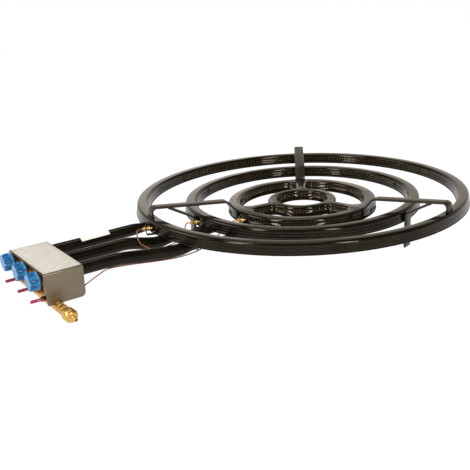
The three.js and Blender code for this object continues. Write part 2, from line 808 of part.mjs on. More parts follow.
// The probes' tips, and the routes of their leads between the magnet units and the probes' tails
const outerProbeX = -20;
const middleProbeX = -14;
const innerProbeX = 13;
const probePlaces = [
  { x: outerProbeX, radius: outerRadius, bottom: ringBottom },
  { x: middleProbeX, radius: middleRadius, bottom: middleBottom },
  { x: innerProbeX, radius: innerRadius, bottom: innerBottom },
];

// Each point's place across, its share of the way from the box's back to the ring's edge, and its height
const leadRoutes = [
  [
    [-52, 0.141, 25], [-30, 0.303, 27], [-6, 0.482, 33], [12, 0.628, 38],
    [25, 0.737, 41], [34, 0.802, 46], [37, 0.807, 52], [32, 0.764, 59],
    [25, 0.726, 65], [15, 0.726, 71], [3, 0.753, 74.5], [-10, 0.786, 74],
    [-22, 0.824, 73.5],
  ],
  [
    [2, 0.032, 31], [3, 0.119, 40], [3, 0.225, 48.5], [3, 0.365, 49],
    [3, 0.47, 43.5], [2, 0.569, 38], [0, 0.663, 36.5], [-5, 0.751, 37],
    [-13, 0.814, 43], [-20, 0.863, 54],
  ],
  [
    [61, 0.024, 34], [62, 0.069, 44], [63, 0.122, 50], [66, 0.191, 49],
    [68, 0.263, 46], [69, 0.343, 42], [69, 0.422, 38.8], [68, 0.502, 37.8],
    [66, 0.568, 37], [58, 0.635, 36.5], [46, 0.696, 37.5], [33, 0.76, 41],
    [21, 0.847, 48], [9, 0.903, 53],
  ],
];

// Assembly
const burner = new THREE.Group();
const origin = new THREE.Group();
burner.add(origin);

const outerChannel = ringChannel(outerRadius, ringTop, ringBottom, outerFacets);
const middleChannel = ringChannel(middleRadius, middleTop, middleBottom, middleFacets);
piece("outer_ring_channel", outerChannel, enamel, origin);
piece("middle_ring_channel", middleChannel, enamel, origin);
piece("inner_ring_channel", innerChannel(), enamel, origin);

const outerInlet = inletHole(outerRadius, ringBottom, outerTubeX);
const middleInlet = inletHole(middleRadius, middleBottom, middleTubeShift);
const innerInlet = inletHole(innerRadius, innerBottom, innerTubeX);
const outerPan = ringPan(outerRadius, ringBottom, outerFacets);
const middlePan = ringPan(middleRadius, middleBottom, middleFacets);
const innerPan = innerLayer(ringLip, innerBottom, innerBottom + ringSheet);
piece("outer_ring_pan", outerPan.subtract(outerInlet), enamel, origin);
piece("middle_ring_pan", middlePan.subtract(middleInlet), enamel, origin);
piece("inner_ring_pan", innerPan.subtract(innerInlet), enamel, origin);

const outerSpace = ringSpace(outerRadius, ringBottom, outerFacets);
const middleSpace = ringSpace(middleRadius, middleBottom, middleFacets);
const innerSpace = ringSpace(innerRadius, innerBottom, innerFacets);
piece("outer_mixing_tube", mixingTube(outerTubeStations, outerSpace), enamel, origin);
piece("middle_mixing_tube", mixingTube(middleTubeStations, middleSpace), enamel, origin);
piece("inner_mixing_tube", mixingTube(innerTubeStations, innerSpace), enamel, origin);

supportAngles.forEach((degrees, i) => {
  const turn = THREE.MathUtils.degToRad(degrees);
  piece(`pan_support_${i + 1}`, panSupport(), barSteel, origin).rotation.z = turn;
  piece(`leg_bracket_${i + 1}`, legBracket(), barSteel, origin).rotation.z = turn;
});

piece("control_cover", controlCover(), stainless, origin);
piece("tube_plate", tubePlate(), stainless, origin);
piece("gas_rail", gasRail(), brass, origin);
piece("rail_plug", railPlug(), brass, origin);
piece("inlet_fitting", inletFitting(), brass, origin);
piece("union_nut", unionNut(), brass, origin);
piece("hose_nozzle", hoseNozzle(), brass, origin);

[-valvePitch, 0, valvePitch].forEach((x, i) => {
  const valve = new THREE.Group();
  valve.position.x = x;
  origin.add(valve);
  const number = i + 1;
  piece(`valve_body_${number}`, valveBody(), brass, valve);
  piece(`injector_${number}`, injector(), brass, valve);
  piece(`magnet_unit_${number}`, magnetUnit(), brass, valve);
  piece(`button_gland_${number}`, buttonGland(), copper, valve);
  piece(`tap_stem_${number}`, tapStem(0), brass, valve);
  piece(`knob_collar_${number}`, knobCollar(), blackPlastic, valve);
  piece(`knob_${number}`, knob(), blueGrip, valve);
  piece(`push_button_${number}`, pushButton(), redRod, valve);

  const { x: tipX, radius, bottom } = probePlaces[i];
  const ringEdge = edgeAt(radius, tipX);
  const head = new THREE.Group();
  head.position.set(tipX, ringEdge - probeGap, bottom + probeLift);
  head.rotation.z = THREE.MathUtils.degToRad(probeTurn);
  origin.add(head);
  piece(`thermocouple_${number}`, thermocouple(), brass, head);
  piece(`thermocouple_bracket_${number}`, thermocoupleBracket(), barSteel, head);

  head.updateMatrixWorld();
  const behindProbe = (distance) =>
    new THREE.Vector3(0, -probeSteps.tail - seat - distance, 0).applyMatrix4(head.matrixWorld).toArray();
  const behindMagnet = (distance) => [x, magnetBack + seat + distance, safetyHeight];
  const between = ([across, share, height]) =>
    [across, THREE.MathUtils.lerp(boxRear, ringEdge, share), height];
  const stubs = [0, leadStub / 2, leadStub];
  const route = [
    ...stubs.map(behindMagnet),
    ...leadRoutes[i].map(between),
    ...stubs.reverse().map(behindProbe),
  ];
  piece(`capillary_${number}`, capillary(route), copper, origin);
});

// The origin moves under the middle of the object, halfway between the rings' far edge and the front.
const farEdge = outerRadius + ringLip;
const frontEdge = Math.min(buttonFront, knobFront);
origin.position.y = -(farEdge + frontEdge) / 2;

export default burner;
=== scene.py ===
# %% [markdown]
# # A paella burner, dressed in Blender
# The frame holds the burner's CAD parts: three gas rings on flat bars, fed by three tubes from a
# control box. These cells put the finished surfaces round those parts. The real one is pressed and
# welded steel under a glossy black enamel, with brass gas parts, so smooth sweeps and turned forms
# do most of the work. The first step is to load the frame and keep its box, to set beside the dressed
# box at the end.

import json
import math
from types import SimpleNamespace

import bmesh
import bpy
from mathutils import Matrix, Vector

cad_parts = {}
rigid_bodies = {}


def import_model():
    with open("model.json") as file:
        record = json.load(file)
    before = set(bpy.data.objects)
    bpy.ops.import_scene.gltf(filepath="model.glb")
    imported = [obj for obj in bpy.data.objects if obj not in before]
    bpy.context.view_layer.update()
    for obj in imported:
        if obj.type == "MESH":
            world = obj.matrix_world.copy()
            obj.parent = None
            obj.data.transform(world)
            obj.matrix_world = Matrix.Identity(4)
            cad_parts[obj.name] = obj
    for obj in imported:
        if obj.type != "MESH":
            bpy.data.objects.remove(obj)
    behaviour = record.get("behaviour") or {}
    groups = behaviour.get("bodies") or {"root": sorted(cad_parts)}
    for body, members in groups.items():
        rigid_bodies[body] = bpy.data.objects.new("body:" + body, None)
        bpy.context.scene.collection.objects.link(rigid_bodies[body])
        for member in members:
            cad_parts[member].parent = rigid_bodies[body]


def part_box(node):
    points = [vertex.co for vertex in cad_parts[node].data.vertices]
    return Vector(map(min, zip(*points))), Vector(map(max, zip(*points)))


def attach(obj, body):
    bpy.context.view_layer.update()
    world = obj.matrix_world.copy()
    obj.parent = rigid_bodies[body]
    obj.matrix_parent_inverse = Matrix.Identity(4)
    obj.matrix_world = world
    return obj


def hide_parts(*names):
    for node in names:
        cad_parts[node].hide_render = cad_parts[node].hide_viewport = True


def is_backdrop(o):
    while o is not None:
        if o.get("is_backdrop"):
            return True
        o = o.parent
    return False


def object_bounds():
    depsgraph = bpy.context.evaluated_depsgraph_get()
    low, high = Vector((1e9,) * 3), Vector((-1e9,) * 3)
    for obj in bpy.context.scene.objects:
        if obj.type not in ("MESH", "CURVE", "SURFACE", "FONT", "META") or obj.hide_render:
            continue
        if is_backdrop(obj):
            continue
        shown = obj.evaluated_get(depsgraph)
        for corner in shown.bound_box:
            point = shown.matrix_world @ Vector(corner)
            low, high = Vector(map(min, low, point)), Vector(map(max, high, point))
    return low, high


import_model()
cad_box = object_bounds()
BODY = "burner"
MM = 0.001
print("CAD box", [tuple(round(value, 4) for value in corner) for corner in cad_box])

# %% [markdown]
# All sizes below are in millimetres from the rings' common axis, as in the part's drawing. That
# axis is read from the outer ring's own box, so the scene follows the CAD part. A matrix then turns
# drawing places into the frame's metres. The three rings step down towards the middle.

# %% Drawing places
ring_low, ring_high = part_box("outer_ring_channel")
AXIS_Y = (ring_low.y + ring_high.y) / 2
TO_FRAME = Matrix.Translation((0, AXIS_Y, 0)) @ Matrix.Scale(MM, 4)
RING_TOP = 84
RING_WIDTH = 23
RING_HEIGHT = 22
RING_SHEET = 1.5
RING_LIP = 1.2
SEAT = 0.3  # the gap between a piece and the one that it sits on
SUPPORT_ANGLES = (15, 141.5, 261)
RING_SIZES = {
    "outer": (350, RING_TOP), "middle": (249.5, RING_TOP - 9.2), "inner": (158, RING_TOP - 19.5),
}
RINGS = {
    name: SimpleNamespace(radius=radius, top=top, bottom=top - RING_HEIGHT)
    for name, (radius, top) in RING_SIZES.items()
}
outer, middle, inner = RINGS.values()
print("rings' axis at y", round(AXIS_Y, 5))

# %% [markdown]
# The camera comes first, because every finish is judged through it. Its place and lens were worked
# out from the edges of the three rings and the box. A small shift keeps the burner in the middle
# of the picture, as a photographer does with a crop.

# %% Camera
FRAME_PIXELS = 470
SENSOR = 36
FOCAL_PIXELS = 710.4
LENS_CENTRE = (282.1, 273.64)
CAMERA_PLACE = (1143.7, -938.5, 490.8)
CAMERA_RIGHT = Vector((0.61974, 0.78395, -0.03665))
CAMERA_UP = Vector((-0.27503, 0.26068, 0.92542))

camera_data = bpy.data.cameras.new("photo_camera")
camera_data.sensor_width = SENSOR
camera_data.lens = FOCAL_PIXELS * SENSOR / FRAME_PIXELS
camera_data.shift_x = 0.5 - LENS_CENTRE[0] / FRAME_PIXELS
camera_data.shift_y = LENS_CENTRE[1] / FRAME_PIXELS - 0.5
camera_data.clip_start = 0.05
scene_objects = bpy.context.scene.collection.objects


def linked(name, data):
    """A new object in the scene."""
    made = bpy.data.objects.new(name, data)
    scene_objects.link(made)
    return made


camera = linked("photo_camera", camera_data)
back = CAMERA_RIGHT.cross(CAMERA_UP).normalized()
turned_up = back.cross(CAMERA_RIGHT).normalized()
axes = Matrix((CAMERA_RIGHT.normalized(), turned_up, back)).transposed().to_4x4()
camera.matrix_world = Matrix.Translation(TO_FRAME @ Vector(CAMERA_PLACE)) @ axes
bpy.context.scene.camera = camera
print("lens", round(camera_data.lens, 2))
print("shift", round(camera_data.shift_x, 3), round(camera_data.shift_y, 3))

# %% [markdown]
# Both materials and Geometry Nodes are node trees, so the same small helpers serve both. The first
# fills a node's inputs with values, or with links from other nodes. The second adds a node and
# hands back one of its outputs, ready to go into the next node.

# %% Helpers for node trees
def fill(tree, made, inputs):
    for key, value in inputs.items():
        socket = made.inputs[key]
        if isinstance(value, bpy.types.NodeSocket):
            tree.links.new(value, socket)
        else:
            socket.default_value = (*value, 1) if socket.type == "RGBA" else value


def node(tree, kind, inputs=None, out=0, **options):
    """Adds a node and returns one output, by number or name, or all of them where out is None."""
    made = tree.nodes.new(kind)
    for key, value in options.items():
        setattr(made, key, value)
    fill(tree, made, inputs or {})
    return made.outputs if out is None or not made.outputs else made.outputs[out]


def maths(tree, operation, *values):
    return node(tree, "ShaderNodeMath", dict(enumerate(values)), operation=operation)


print("node helpers ready")

# %% [markdown]
# A good finish is never one flat value. These helpers read a noise in the piece's own space, spread
# it between two limits, and use it to mix two colours or to raise a bump. A Mix node keeps its
# colour sockets at 6 and 7 and their result at 2. What is the same all over goes on the shader.

# %% Helpers for finishes
def mix_colour(tree, share, first, second):
    return node(tree, "ShaderNodeMix", {0: share, 6: first, 7: second}, 2, data_type="RGBA")


def noise(tree, scale, stretch=(1, 1, 1), detail=3, roughness=0.5):
    place = node(tree, "ShaderNodeTexCoord", out="Object")
    placed = node(tree, "ShaderNodeMapping", {"Vector": place, "Scale": stretch})
    inputs = {"Vector": placed, "Scale": scale, "Detail": detail, "Roughness": roughness}
    return node(tree, "ShaderNodeTexNoise", inputs)


def ramp(tree, factor, low, high, start=0, end=1):
    limits = {"From Min": low, "From Max": high, "To Min": start, "To Max": end}
    return node(tree, "ShaderNodeMapRange", {"Value": factor, **limits})


def bump(tree, height, strength, distance, under=None):
    inputs = {"Height": height, "Strength": strength, "Distance": distance}
    if under:
        inputs["Normal"] = under
    return node(tree, "ShaderNodeBump", inputs)


def finish(name, **constants):
    material = bpy.data.materials.new(name)
    material.use_nodes = True
    tree = material.node_tree
    shader = tree.nodes["Principled BSDF"]
    fill(tree, shader, {key.replace("_", " "): value for key, value in constants.items()})
    return material, tree, shader


print("finish helpers ready")

# %% [markdown]
# Vitreous enamel is glass fused to steel: nearly black with a brown cast, very glossy, and never
# quite flat. Soft waves and a finer peel in the bump break reflections into streaks, and patches of
# roughness show where fat has dulled it. The inner pressing is wavier than the outer rings, and
# the bars carry the same enamel, sprayed thinner, so they are duller and a little greyer.

# %% Enamel finishes
BROWN_BLACK = (0.002, 0.0014, 0.0008), (0.008, 0.0056, 0.0032)
TUBE_BLACK = (0.003, 0.0022, 0.0014), (0.009, 0.0066, 0.004)
BAR_BLACK = (0.009, 0.007, 0.005), (0.017, 0.014, 0.010)
CLOUDS, PATCHES, WAVES, PEEL = 22, 60, 38, 420  # noise scales, in steps to the metre


def enamel_finish(name, colours, roughness, wave, gloss):
    constants = {"IOR": 1.5, "Specular_IOR_Level": gloss, "Specular_Tint": (1, 0.87, 0.7)}
    material, tree, shader = finish(name, **constants)
    cloud = ramp(tree, noise(tree, CLOUDS, detail=4), 0.35, 0.7)
    waves = bump(tree, noise(tree, WAVES, detail=1), wave, 0.0012)
    fill(tree, shader, {
        "Base Color": mix_colour(tree, cloud, *colours),
        "Roughness": ramp(tree, noise(tree, PATCHES, detail=5), 0.3, 0.75, *roughness),
        "Normal": bump(tree, noise(tree, PEEL, detail=2), 0.12, 0.0002, waves),
    })
    return material


enamel = enamel_finish("black_enamel", BROWN_BLACK, (0.05, 0.13), 0.14, 0.25)
lumpy_enamel = enamel_finish("lumpy_enamel", BROWN_BLACK, (0.05, 0.12), 0.42, 0.35)
tube_enamel = enamel_finish("tube_enamel", TUBE_BLACK, (0.07, 0.15), 0.1, 0.16)
bar_enamel = enamel_finish("bar_enamel", BAR_BLACK, (0.30, 0.38), 0.05, 0.4)
print("enamels made")

# %% [markdown]
# Metals get their look from fine structure. Brushed stainless is noise stretched along the
# brushing. Brass and copper have hazy patches where fingers have been, and the same noise mixes
# their colour and their roughness, so a dull patch is also a darker one. A fine grain lies over it.

# %% Metal finishes
GRAIN_HEIGHT = 0.0001  # in metres, as every distance in a material is


def brushed_finish(name, colours, stretch):
    material, tree, shader = finish(name, Metallic=1.0)
    grain = noise(tree, 60, stretch, detail=6, roughness=0.7)
    fill(tree, shader, {
        "Base Color": mix_colour(tree, ramp(tree, grain, 0.35, 0.65), *colours),
        "Roughness": ramp(tree, noise(tree, 14), 0.3, 0.7, 0.38, 0.5),
        "Normal": bump(tree, grain, 0.16, GRAIN_HEIGHT),
    })
    return material


def worn_metal(name, bright, dull, roughness, scale=90):
    material, tree, shader = finish(name, Metallic=1.0)
    cloud = noise(tree, scale, detail=5)
    fill(tree, shader, {
        "Base Color": mix_colour(tree, ramp(tree, cloud, 0.35, 0.7), bright, dull),
        "Roughness": ramp(tree, cloud, 0.3, 0.75, *roughness),
        "Normal": bump(tree, noise(tree, 700, detail=2), 0.08, GRAIN_HEIGHT),
    })
    return material


# The stainless tones are dark and brown: a painted reflection of brownish surroundings over the
# brushed steel.
STAINLESS_REFLECTION_TONES = (0.165, 0.135, 0.096), (0.235, 0.197, 0.145)
PLATE_TONES = (0.30, 0.29, 0.27), (0.42, 0.40, 0.37)
stainless = brushed_finish("brushed_stainless", STAINLESS_REFLECTION_TONES, (1, 0.5, 40))
plate_steel = brushed_finish("plate_steel", PLATE_TONES, (40, 1, 1))
# Golden metal for the rims on the inner walls: partly bare metal, partly painted glint.
glinting_port_rim = worn_metal("glinting_port_rim", (0.18, 0.135, 0.075), (0.06, 0.044, 0.022), (0.2, 0.4))
brass = worn_metal("turned_brass", (0.68, 0.43, 0.13), (0.53, 0.33, 0.095), (0.30, 0.42))
# The cast brass is much darker than the turned brass: partly its own duller cast tone, partly painted
# shade for the valves deep inside the box.
cast_brass_and_shade = worn_metal("cast_brass_and_shade", (0.32, 0.16, 0.045), (0.17, 0.08, 0.022), (0.3, 0.5))
copper = worn_metal("drawn_copper", (0.38, 0.14, 0.075), (0.21, 0.078, 0.042), (0.25, 0.42), 160)
print("metals made")

# %% [markdown]
# The knobs and collars are moulded plastic, satin with a fine spark-eroded grain, and the push rods
# are glossier. The label on the box is a laminated foil, and the small one on a tube is paper: both
# are bare. One recipe serves them all, with its colours, roughness and grain as inputs.

# %% Plastic and label finishes
def moulded_finish(name, dark, light, roughness, grain):
    material, tree, shader = finish(name)
    cloud = noise(tree, 120)
    fill(tree, shader, {
        "Base Color": mix_colour(tree, ramp(tree, cloud, 0.35, 0.65), dark, light),
        "Roughness": ramp(tree, cloud, 0.3, 0.7, roughness, roughness + 0.1),
        "Normal": bump(tree, noise(tree, 1600, detail=2), grain, GRAIN_HEIGHT),
    })
    return material


knob_blue = moulded_finish("knob_blue", (0.003, 0.125, 0.31), (0.009, 0.235, 0.50), 0.2, 0.1)
knob_mark = moulded_finish("knob_mark", (0.60, 0.72, 0.80), (0.72, 0.82, 0.88), 0.4, 0.1)
collar_black = moulded_finish("collar_black", (0.002, 0.002, 0.004), (0.006, 0.006, 0.009), 0.5, 0.15)
rod_red = moulded_finish("rod_red", (0.22, 0.008, 0.035), (0.38, 0.03, 0.08), 0.1, 0.05)
# Nearly black, rough cups in the flame ports and the nozzle's bore: painted shade where the holes are.
painted_hole_shade = moulded_finish("painted_hole_shade", (0.002, 0.002, 0.002), (0.006, 0.005, 0.004), 0.8, 0.1)
label_foil = moulded_finish("label_foil", (0.50, 0.465, 0.40), (0.57, 0.53, 0.465), 0.34, 0.05)
label_line = moulded_finish("label_line", (0.30, 0.28, 0.25), (0.36, 0.33, 0.29), 0.5, 0.05)
sticker_paper = moulded_finish("sticker_paper", (0.84, 0.79, 0.70), (0.90, 0.86, 0.78), 0.55, 0.2)
print("plastics made")

# %% [markdown]
# A modifier makes its shape only when Blender evaluates the object. These helpers put a mesh on a
# passing object, let Blender work out the result, keep it as a plain mesh, and remove the object.
# Sharp edges are rounded in this way, and one mesh is cut by another.

# %% Helpers for modifiers
def plain_mesh(maker):
    """The mesh that an object's modifiers or curve make, and the object is gone afterwards."""
    graph = bpy.context.evaluated_depsgraph_get()
    mesh = bpy.data.meshes.new_from_object(maker.evaluated_get(graph), depsgraph=graph)
    data = maker.data
    bpy.data.objects.remove(maker)
    if data.users == 0 and isinstance(data, bpy.types.Mesh):
        bpy.data.meshes.remove(data)
    return mesh


def rounded(mesh, width, angle=40):
    """The mesh with its sharp edges rounded, as a tool or a press leaves them."""
    if not width:
        return mesh
    maker = linked("maker", mesh)
    bevel = maker.modifiers.new("edges", "BEVEL")
    bevel.width, bevel.segments, bevel.limit_method = width, 2, "ANGLE"
    bevel.angle_limit = math.radians(angle)
    bevel.use_clamp_overlap = True
    return plain_mesh(maker)


def boolean(target, cutter, operation="DIFFERENCE"):
    """One mesh cut by another, or what both share."""
    maker, tool = linked("maker", target), linked("maker", cutter)
    cut = maker.modifiers.new("cut", "BOOLEAN")
    cut.operation, cut.solver, cut.object = operation, "EXACT", tool
    result = plain_mesh(maker)
    bpy.data.objects.remove(tool)
    return result


print("modifier helpers ready")

# %% [markdown]
# Each piece goes through one door: its drawing mesh is put into the frame, smoothed except at sharp
# edges, given its finish, and set on the body that it rides on, and the CAD node that it stands for
# is hidden.

# %% Helper that puts a piece in place
SHARP = math.radians(38)


def put(name, mesh, material, stands_for="", body=BODY, smooth=SHARP):
    mesh.name = name
    mesh.transform(TO_FRAME)
    mesh.shade_smooth()
    mesh.set_sharp_from_angle(angle=smooth)
    if material:
        mesh.materials.clear()
        mesh.materials.append(material)
    piece = linked(name, mesh)
    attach(piece, body)
    if stands_for:
        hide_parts(stands_for)
    return piece


print("pieces ride on", BODY, "unless told otherwise")

# %% [markdown]
# Most parts here are skins over rows of points: a turned part has a circle at each step, and a bar
# has its outline at both ends. Drawing into a bmesh is the plainest way to lay such a skin. Doubles
# are merged and faces turned outwards at the end, so no caller has to think of either.

# %% Helpers for skins
def mesh_from(build, merge=1e-4):
    """A mesh from a function that draws into a bmesh."""
    work = bmesh.new()
    build(work)
    bmesh.ops.remove_doubles(work, verts=work.verts, dist=merge)
    bmesh.ops.recalc_face_normals(work, faces=work.faces)
    mesh = bpy.data.meshes.new("drawn")
    work.to_mesh(mesh)
    work.free()
    return mesh


def joined(*meshes):
    work = bmesh.new()
    for mesh in meshes:
        work.from_mesh(mesh)
    mesh = bpy.data.meshes.new("joined")
    work.to_mesh(mesh)
    work.free()
    return mesh


def skinned(rows, ends=False):
    """A skin over rows of points, each row a closed loop; a row of one point is a tip."""
    def build(work):
        loops = [[work.verts.new(point) for point in row] for row in rows]
        if ends:
            work.faces.new(loops[0])
            work.faces.new(loops[-1])
        for first, second in zip(loops, loops[1:]):
            for i in range(max(len(first), len(second))):
                corners = [first[i % len(first)], first[(i + 1) % len(first)]]
                corners += [second[(i + 1) % len(second)], second[i % len(second)]]
                corners = list(dict.fromkeys(corners))
                if len(corners) > 2:
                    work.faces.new(corners)
    return mesh_from(build)


print("skin helpers ready")

# %% [markdown]
# With the skin in place, a turned part needs only its steps along an axis, as a lathe's drawing
# gives them, and a bar or a plate needs only its outline. Both round their edges a little, because
# no real edge is sharp, and light shows that at once.

# %% Helpers for turned and drawn parts
def along_axis(axis, along, across, up, place):
    point = {"x": (along, across, up), "y": (across, along, up), "z": (across, up, along)}[axis]
    return Vector(point) + Vector(place)


def turned(steps, axis="y", place=(0, 0, 0), facets=48, edge=0.35):
    """A turned solid, from steps of [place along the axis, radius]; a radius of zero is a tip."""
    rows = []
    for along, radius in steps:
        turns = [2 * math.pi * i / facets for i in range(facets if radius else 1)]
        circle = [(radius * math.cos(turn), radius * math.sin(turn)) for turn in turns]
        rows.append([along_axis(axis, along, across, up, place) for across, up in circle])
    return rounded(skinned(rows), edge)


def capped(steps):
    """The same steps with both ends closed on the axis."""
    return [(steps[0][0], 0), *steps, (steps[-1][0], 0)]


def prism(outline, low, high, axis="z", place=(0, 0, 0), edge=0.3):
    """A flat outline of [a, b] drawn out along an axis."""
    rows = [[along_axis(axis, level, a, b, place) for a, b in outline] for level in (low, high)]
    return rounded(skinned(rows, ends=True), edge)


def box_mesh(low, high, edge=0.3):
    outline = [(low[0], low[1]), (high[0], low[1]), (high[0], high[1]), (low[0], high[1])]
    return prism(outline, low[2], high[2], edge=edge)


def arc(centre, radius, start, end, steps):
    turns = [start + (end - start) * i / steps for i in range(steps + 1)]
    return [(centre[0] + radius * math.cos(t), centre[1] + radius * math.sin(t)) for t in turns]


def circle_outline(radius, count):
    return arc((0, 0), radius, 0, 2 * math.pi, count)[:-1]


def hexagon(radius, turn=0):
    turn = math.radians(turn)
    return arc((0, 0), radius, turn, turn + 2 * math.pi, 6)[:-1]


print("drawing helpers ready")

# %% [markdown]
# Geometry Nodes do what repeats or follows a path. The helpers start a tree with named inputs and
# close it with real geometry and a finish. Running one sets the modifier's inputs by identifier,
# keeps the result as a plain mesh, and the modifier goes with its object.

# %% Helpers for Geometry Nodes
def new_tree(name, **sizes):
    tree = bpy.data.node_groups.new(name, "GeometryNodeTree")
    for label, kind in {"Geometry": "Geometry", **sizes}.items():
        tree.interface.new_socket(label, in_out="INPUT", socket_type="NodeSocket" + kind)
    tree.interface.new_socket("Geometry", in_out="OUTPUT", socket_type="NodeSocketGeometry")
    return tree, node(tree, "NodeGroupInput", out=None)


def close_tree(tree, result, material):
    real = node(tree, "GeometryNodeRealizeInstances", {"Geometry": result})
    painted = node(tree, "GeometryNodeSetMaterial", {"Geometry": real, "Material": material})
    node(tree, "NodeGroupOutput", {"Geometry": painted})


def run_tree(tree, mesh, **sizes):
    maker = linked("maker", mesh)
    modifier = maker.modifiers.new(tree.name, "NODES")
    modifier.node_group = tree
    for item in tree.interface.items_tree:
        if item.in_out == "INPUT" and item.name in sizes:
            modifier[item.identifier] = sizes[item.name]
    return plain_mesh(maker)


def line_mesh(points, closed=False):
    mesh = bpy.data.meshes.new("line")
    count = len(points)
    edges = [(i, (i + 1) % count) for i in range(count if closed else count - 1)]
    mesh.from_pydata([tuple(point) for point in points], edges, [])
    return mesh


def drawn_curve(tree, given):
    return node(tree, "GeometryNodeMeshToCurve", {"Mesh": given["Geometry"]})


def circle_curve(tree, radius, corners):
    inputs = {"Radius": radius, "Resolution": corners}
    return node(tree, "GeometryNodeCurvePrimitiveCircle", inputs)


def swept(tree, path, section, **ends):
    inputs = {"Curve": path, "Profile Curve": section, **ends}
    return node(tree, "GeometryNodeCurveToMesh", inputs)


def even_steps(tree, given):
    """Points along the drawn line, a pitch apart."""
    inputs = {"Curve": drawn_curve(tree, given), "Length": given["Pitch"]}
    return node(tree, "GeometryNodeResampleCurve", inputs, mode="LENGTH")


def set_on(tree, points, instance, **turned_or_scaled):
    inputs = {"Points": points, "Instance": instance, **turned_or_scaled}
    return node(tree, "GeometryNodeInstanceOnPoints", inputs)


print("tree helpers ready")

# %% [markdown]
# A ring is a pressed trough with rounded shoulders, closed from below by a strip that stands out as
# a thin lip. Its section is the same all the way round, so a node tree sweeps a drawn section along
# a circle. Seen from the curve, the section's X runs outwards and its Y runs down.

# %% Ring sweep tree
ring_sweep, given = new_tree("ring_sweep", Radius="Float", Facets="Int", Finish="Material")
circle = circle_curve(ring_sweep, given["Radius"], given["Facets"])
ring_skin = swept(ring_sweep, circle, drawn_curve(ring_sweep, given))
close_tree(ring_sweep, ring_skin, given["Finish"])


def sweep_ring(section_points, radius, facets=240):
    flat = [(x - radius, -z, 0) for x, z in reversed(section_points)]
    sizes = {"Radius": radius, "Facets": facets, "Finish": enamel}
    return run_tree(ring_sweep, line_mesh(flat, closed=True), **sizes)


print("ring sweep ready")

# %% [markdown]
# The press dies leave two small steps in each wall, and every step catches its own thin line of
# light, so they are worth drawing. The rings look a little wider in the photograph than in the CAD
# part, so the inner wall stands 3 mm further in than the part's.

# %% Ring sections
SHOULDER = 5.6
INNER_WALL = RING_WIDTH + 3
WALL_STEP = 0.7
STEP_LEVELS = (4.4, 9.4)


def rounded_section(low_x, high_x, low_z, high_z, low_round, high_round, steps=6):
    """A rectangle in [across, up] with rounded lower and upper corners, anticlockwise."""
    points = []
    corners = ((high_x, low_z, low_round, 270), (high_x, high_z, high_round, 0))
    corners += ((low_x, high_z, high_round, 90), (low_x, low_z, low_round, 180))
    for x, z, radius, start in corners:
        centre = x + radius * (1 if x == low_x else -1), z + radius * (1 if z == low_z else -1)
        points += arc(centre, radius, math.radians(start), math.radians(start + 90), steps)
    return points


def trough_section(low_x, high_x, low_z, high_z):
    """Stepped walls, and the upper half of a rounded rectangle over them."""
    wall = [(0, 0)]
    for number, level in enumerate(STEP_LEVELS):
        start = number * WALL_STEP
        wall += [(start, level), (start + 0.03, level + 0.3)]
        wall += [(start + WALL_STEP - 0.03, level + 1.6), (start + WALL_STEP, level + 1.9)]
    inset = WALL_STEP * len(STEP_LEVELS)
    wall.append((inset, high_z - low_z - SHOULDER - 0.2))
    crown = rounded_section(low_x + inset, high_x - inset, low_z, high_z, 0.1, SHOULDER)
    quarter = len(crown) // 4
    right_wall = [(high_x - x, low_z + z) for x, z in wall]
    left_wall = [(low_x + x, low_z + z) for x, z in reversed(wall)]
    return right_wall + crown[quarter:3 * quarter] + left_wall


for name in ("outer", "middle"):
    ring = RINGS[name]
    near, far = ring.radius - INNER_WALL, ring.radius
    shell = sweep_ring(trough_section(near, far, ring.bottom + RING_SHEET + SEAT, ring.top), far)
    strip = near - RING_LIP, far + RING_LIP, ring.bottom, ring.bottom + RING_SHEET
    print(name, "ring", len(shell.polygons), "faces")
    put(name + "_ring_shell", shell, None, name + "_ring_channel")
    base = sweep_ring(rounded_section(*strip, 0.6, 0.6, 3), far)
    put(name + "_ring_base", base, None, name + "_ring_pan")

# %% [markdown]
# The inner ring and the small centre ring are one pressing, joined by three bridges with generous
# fillets. Its plan has a hole in the middle and three windows. A window's outline is worked out
# from its fillets' centres, which lie where a bridge's side and a ring's edge are equally far.

# %% Inner ring plan
CENTRE_RADIUS = 73
CENTRE_WIDTH = 19
BRIDGE_HALF = 12
WINDOW_FILLET = 16


def window_outline(index, grow=0.0, steps=10):
    """One window's outline; growing the ring draws the window in."""
    bridges = [math.radians(angle) for angle in SUPPORT_ANGLES]
    start, end = bridges[index], bridges[(index + 1) % 3] + (2 * math.pi if index == 2 else 0)
    far, near = inner.radius - INNER_WALL, CENTRE_RADIUS
    fillet, offset = WINDOW_FILLET - grow, BRIDGE_HALF + WINDOW_FILLET
    far_reach, near_reach = far - WINDOW_FILLET, near + WINDOW_FILLET
    far_lean, near_lean = math.asin(offset / far_reach), math.asin(offset / near_reach)
    quarter = math.pi / 2

    def fillet_arc(bridge, side, reach, first, last):
        along = math.sqrt(reach * reach - offset * offset)
        centre = (Matrix.Rotation(bridge, 2) @ Vector((along, side * offset))).to_tuple()
        return arc(centre, fillet, first, last, steps)

    return [
        *fillet_arc(start, 1, far_reach, start - quarter, start + far_lean),
        *arc((0, 0), far - grow, start + far_lean, end - far_lean, steps * 4)[1:-1],
        *fillet_arc(end, -1, far_reach, end - far_lean, end + quarter),
        *fillet_arc(end, -1, near_reach, end + quarter, end + 2 * quarter - near_lean),
        *arc((0, 0), near + grow, end - near_lean, start + near_lean, steps * 3)[1:-1],
        *fillet_arc(start, 1, near_reach, start - 2 * quarter + near_lean, start - quarter),
    ]


print("windows' outlines", [len(window_outline(index)) for index in range(3)], "points")

# %% [markdown]
# A flat Blender curve can fill such a plan, draw it up and round its edges in one go, which a ring
# sweep can't. The shell is drawn too deep and then cut off at its foot, so that only its upper
# edges are round. The strip under it is the same plan, a lip wider.

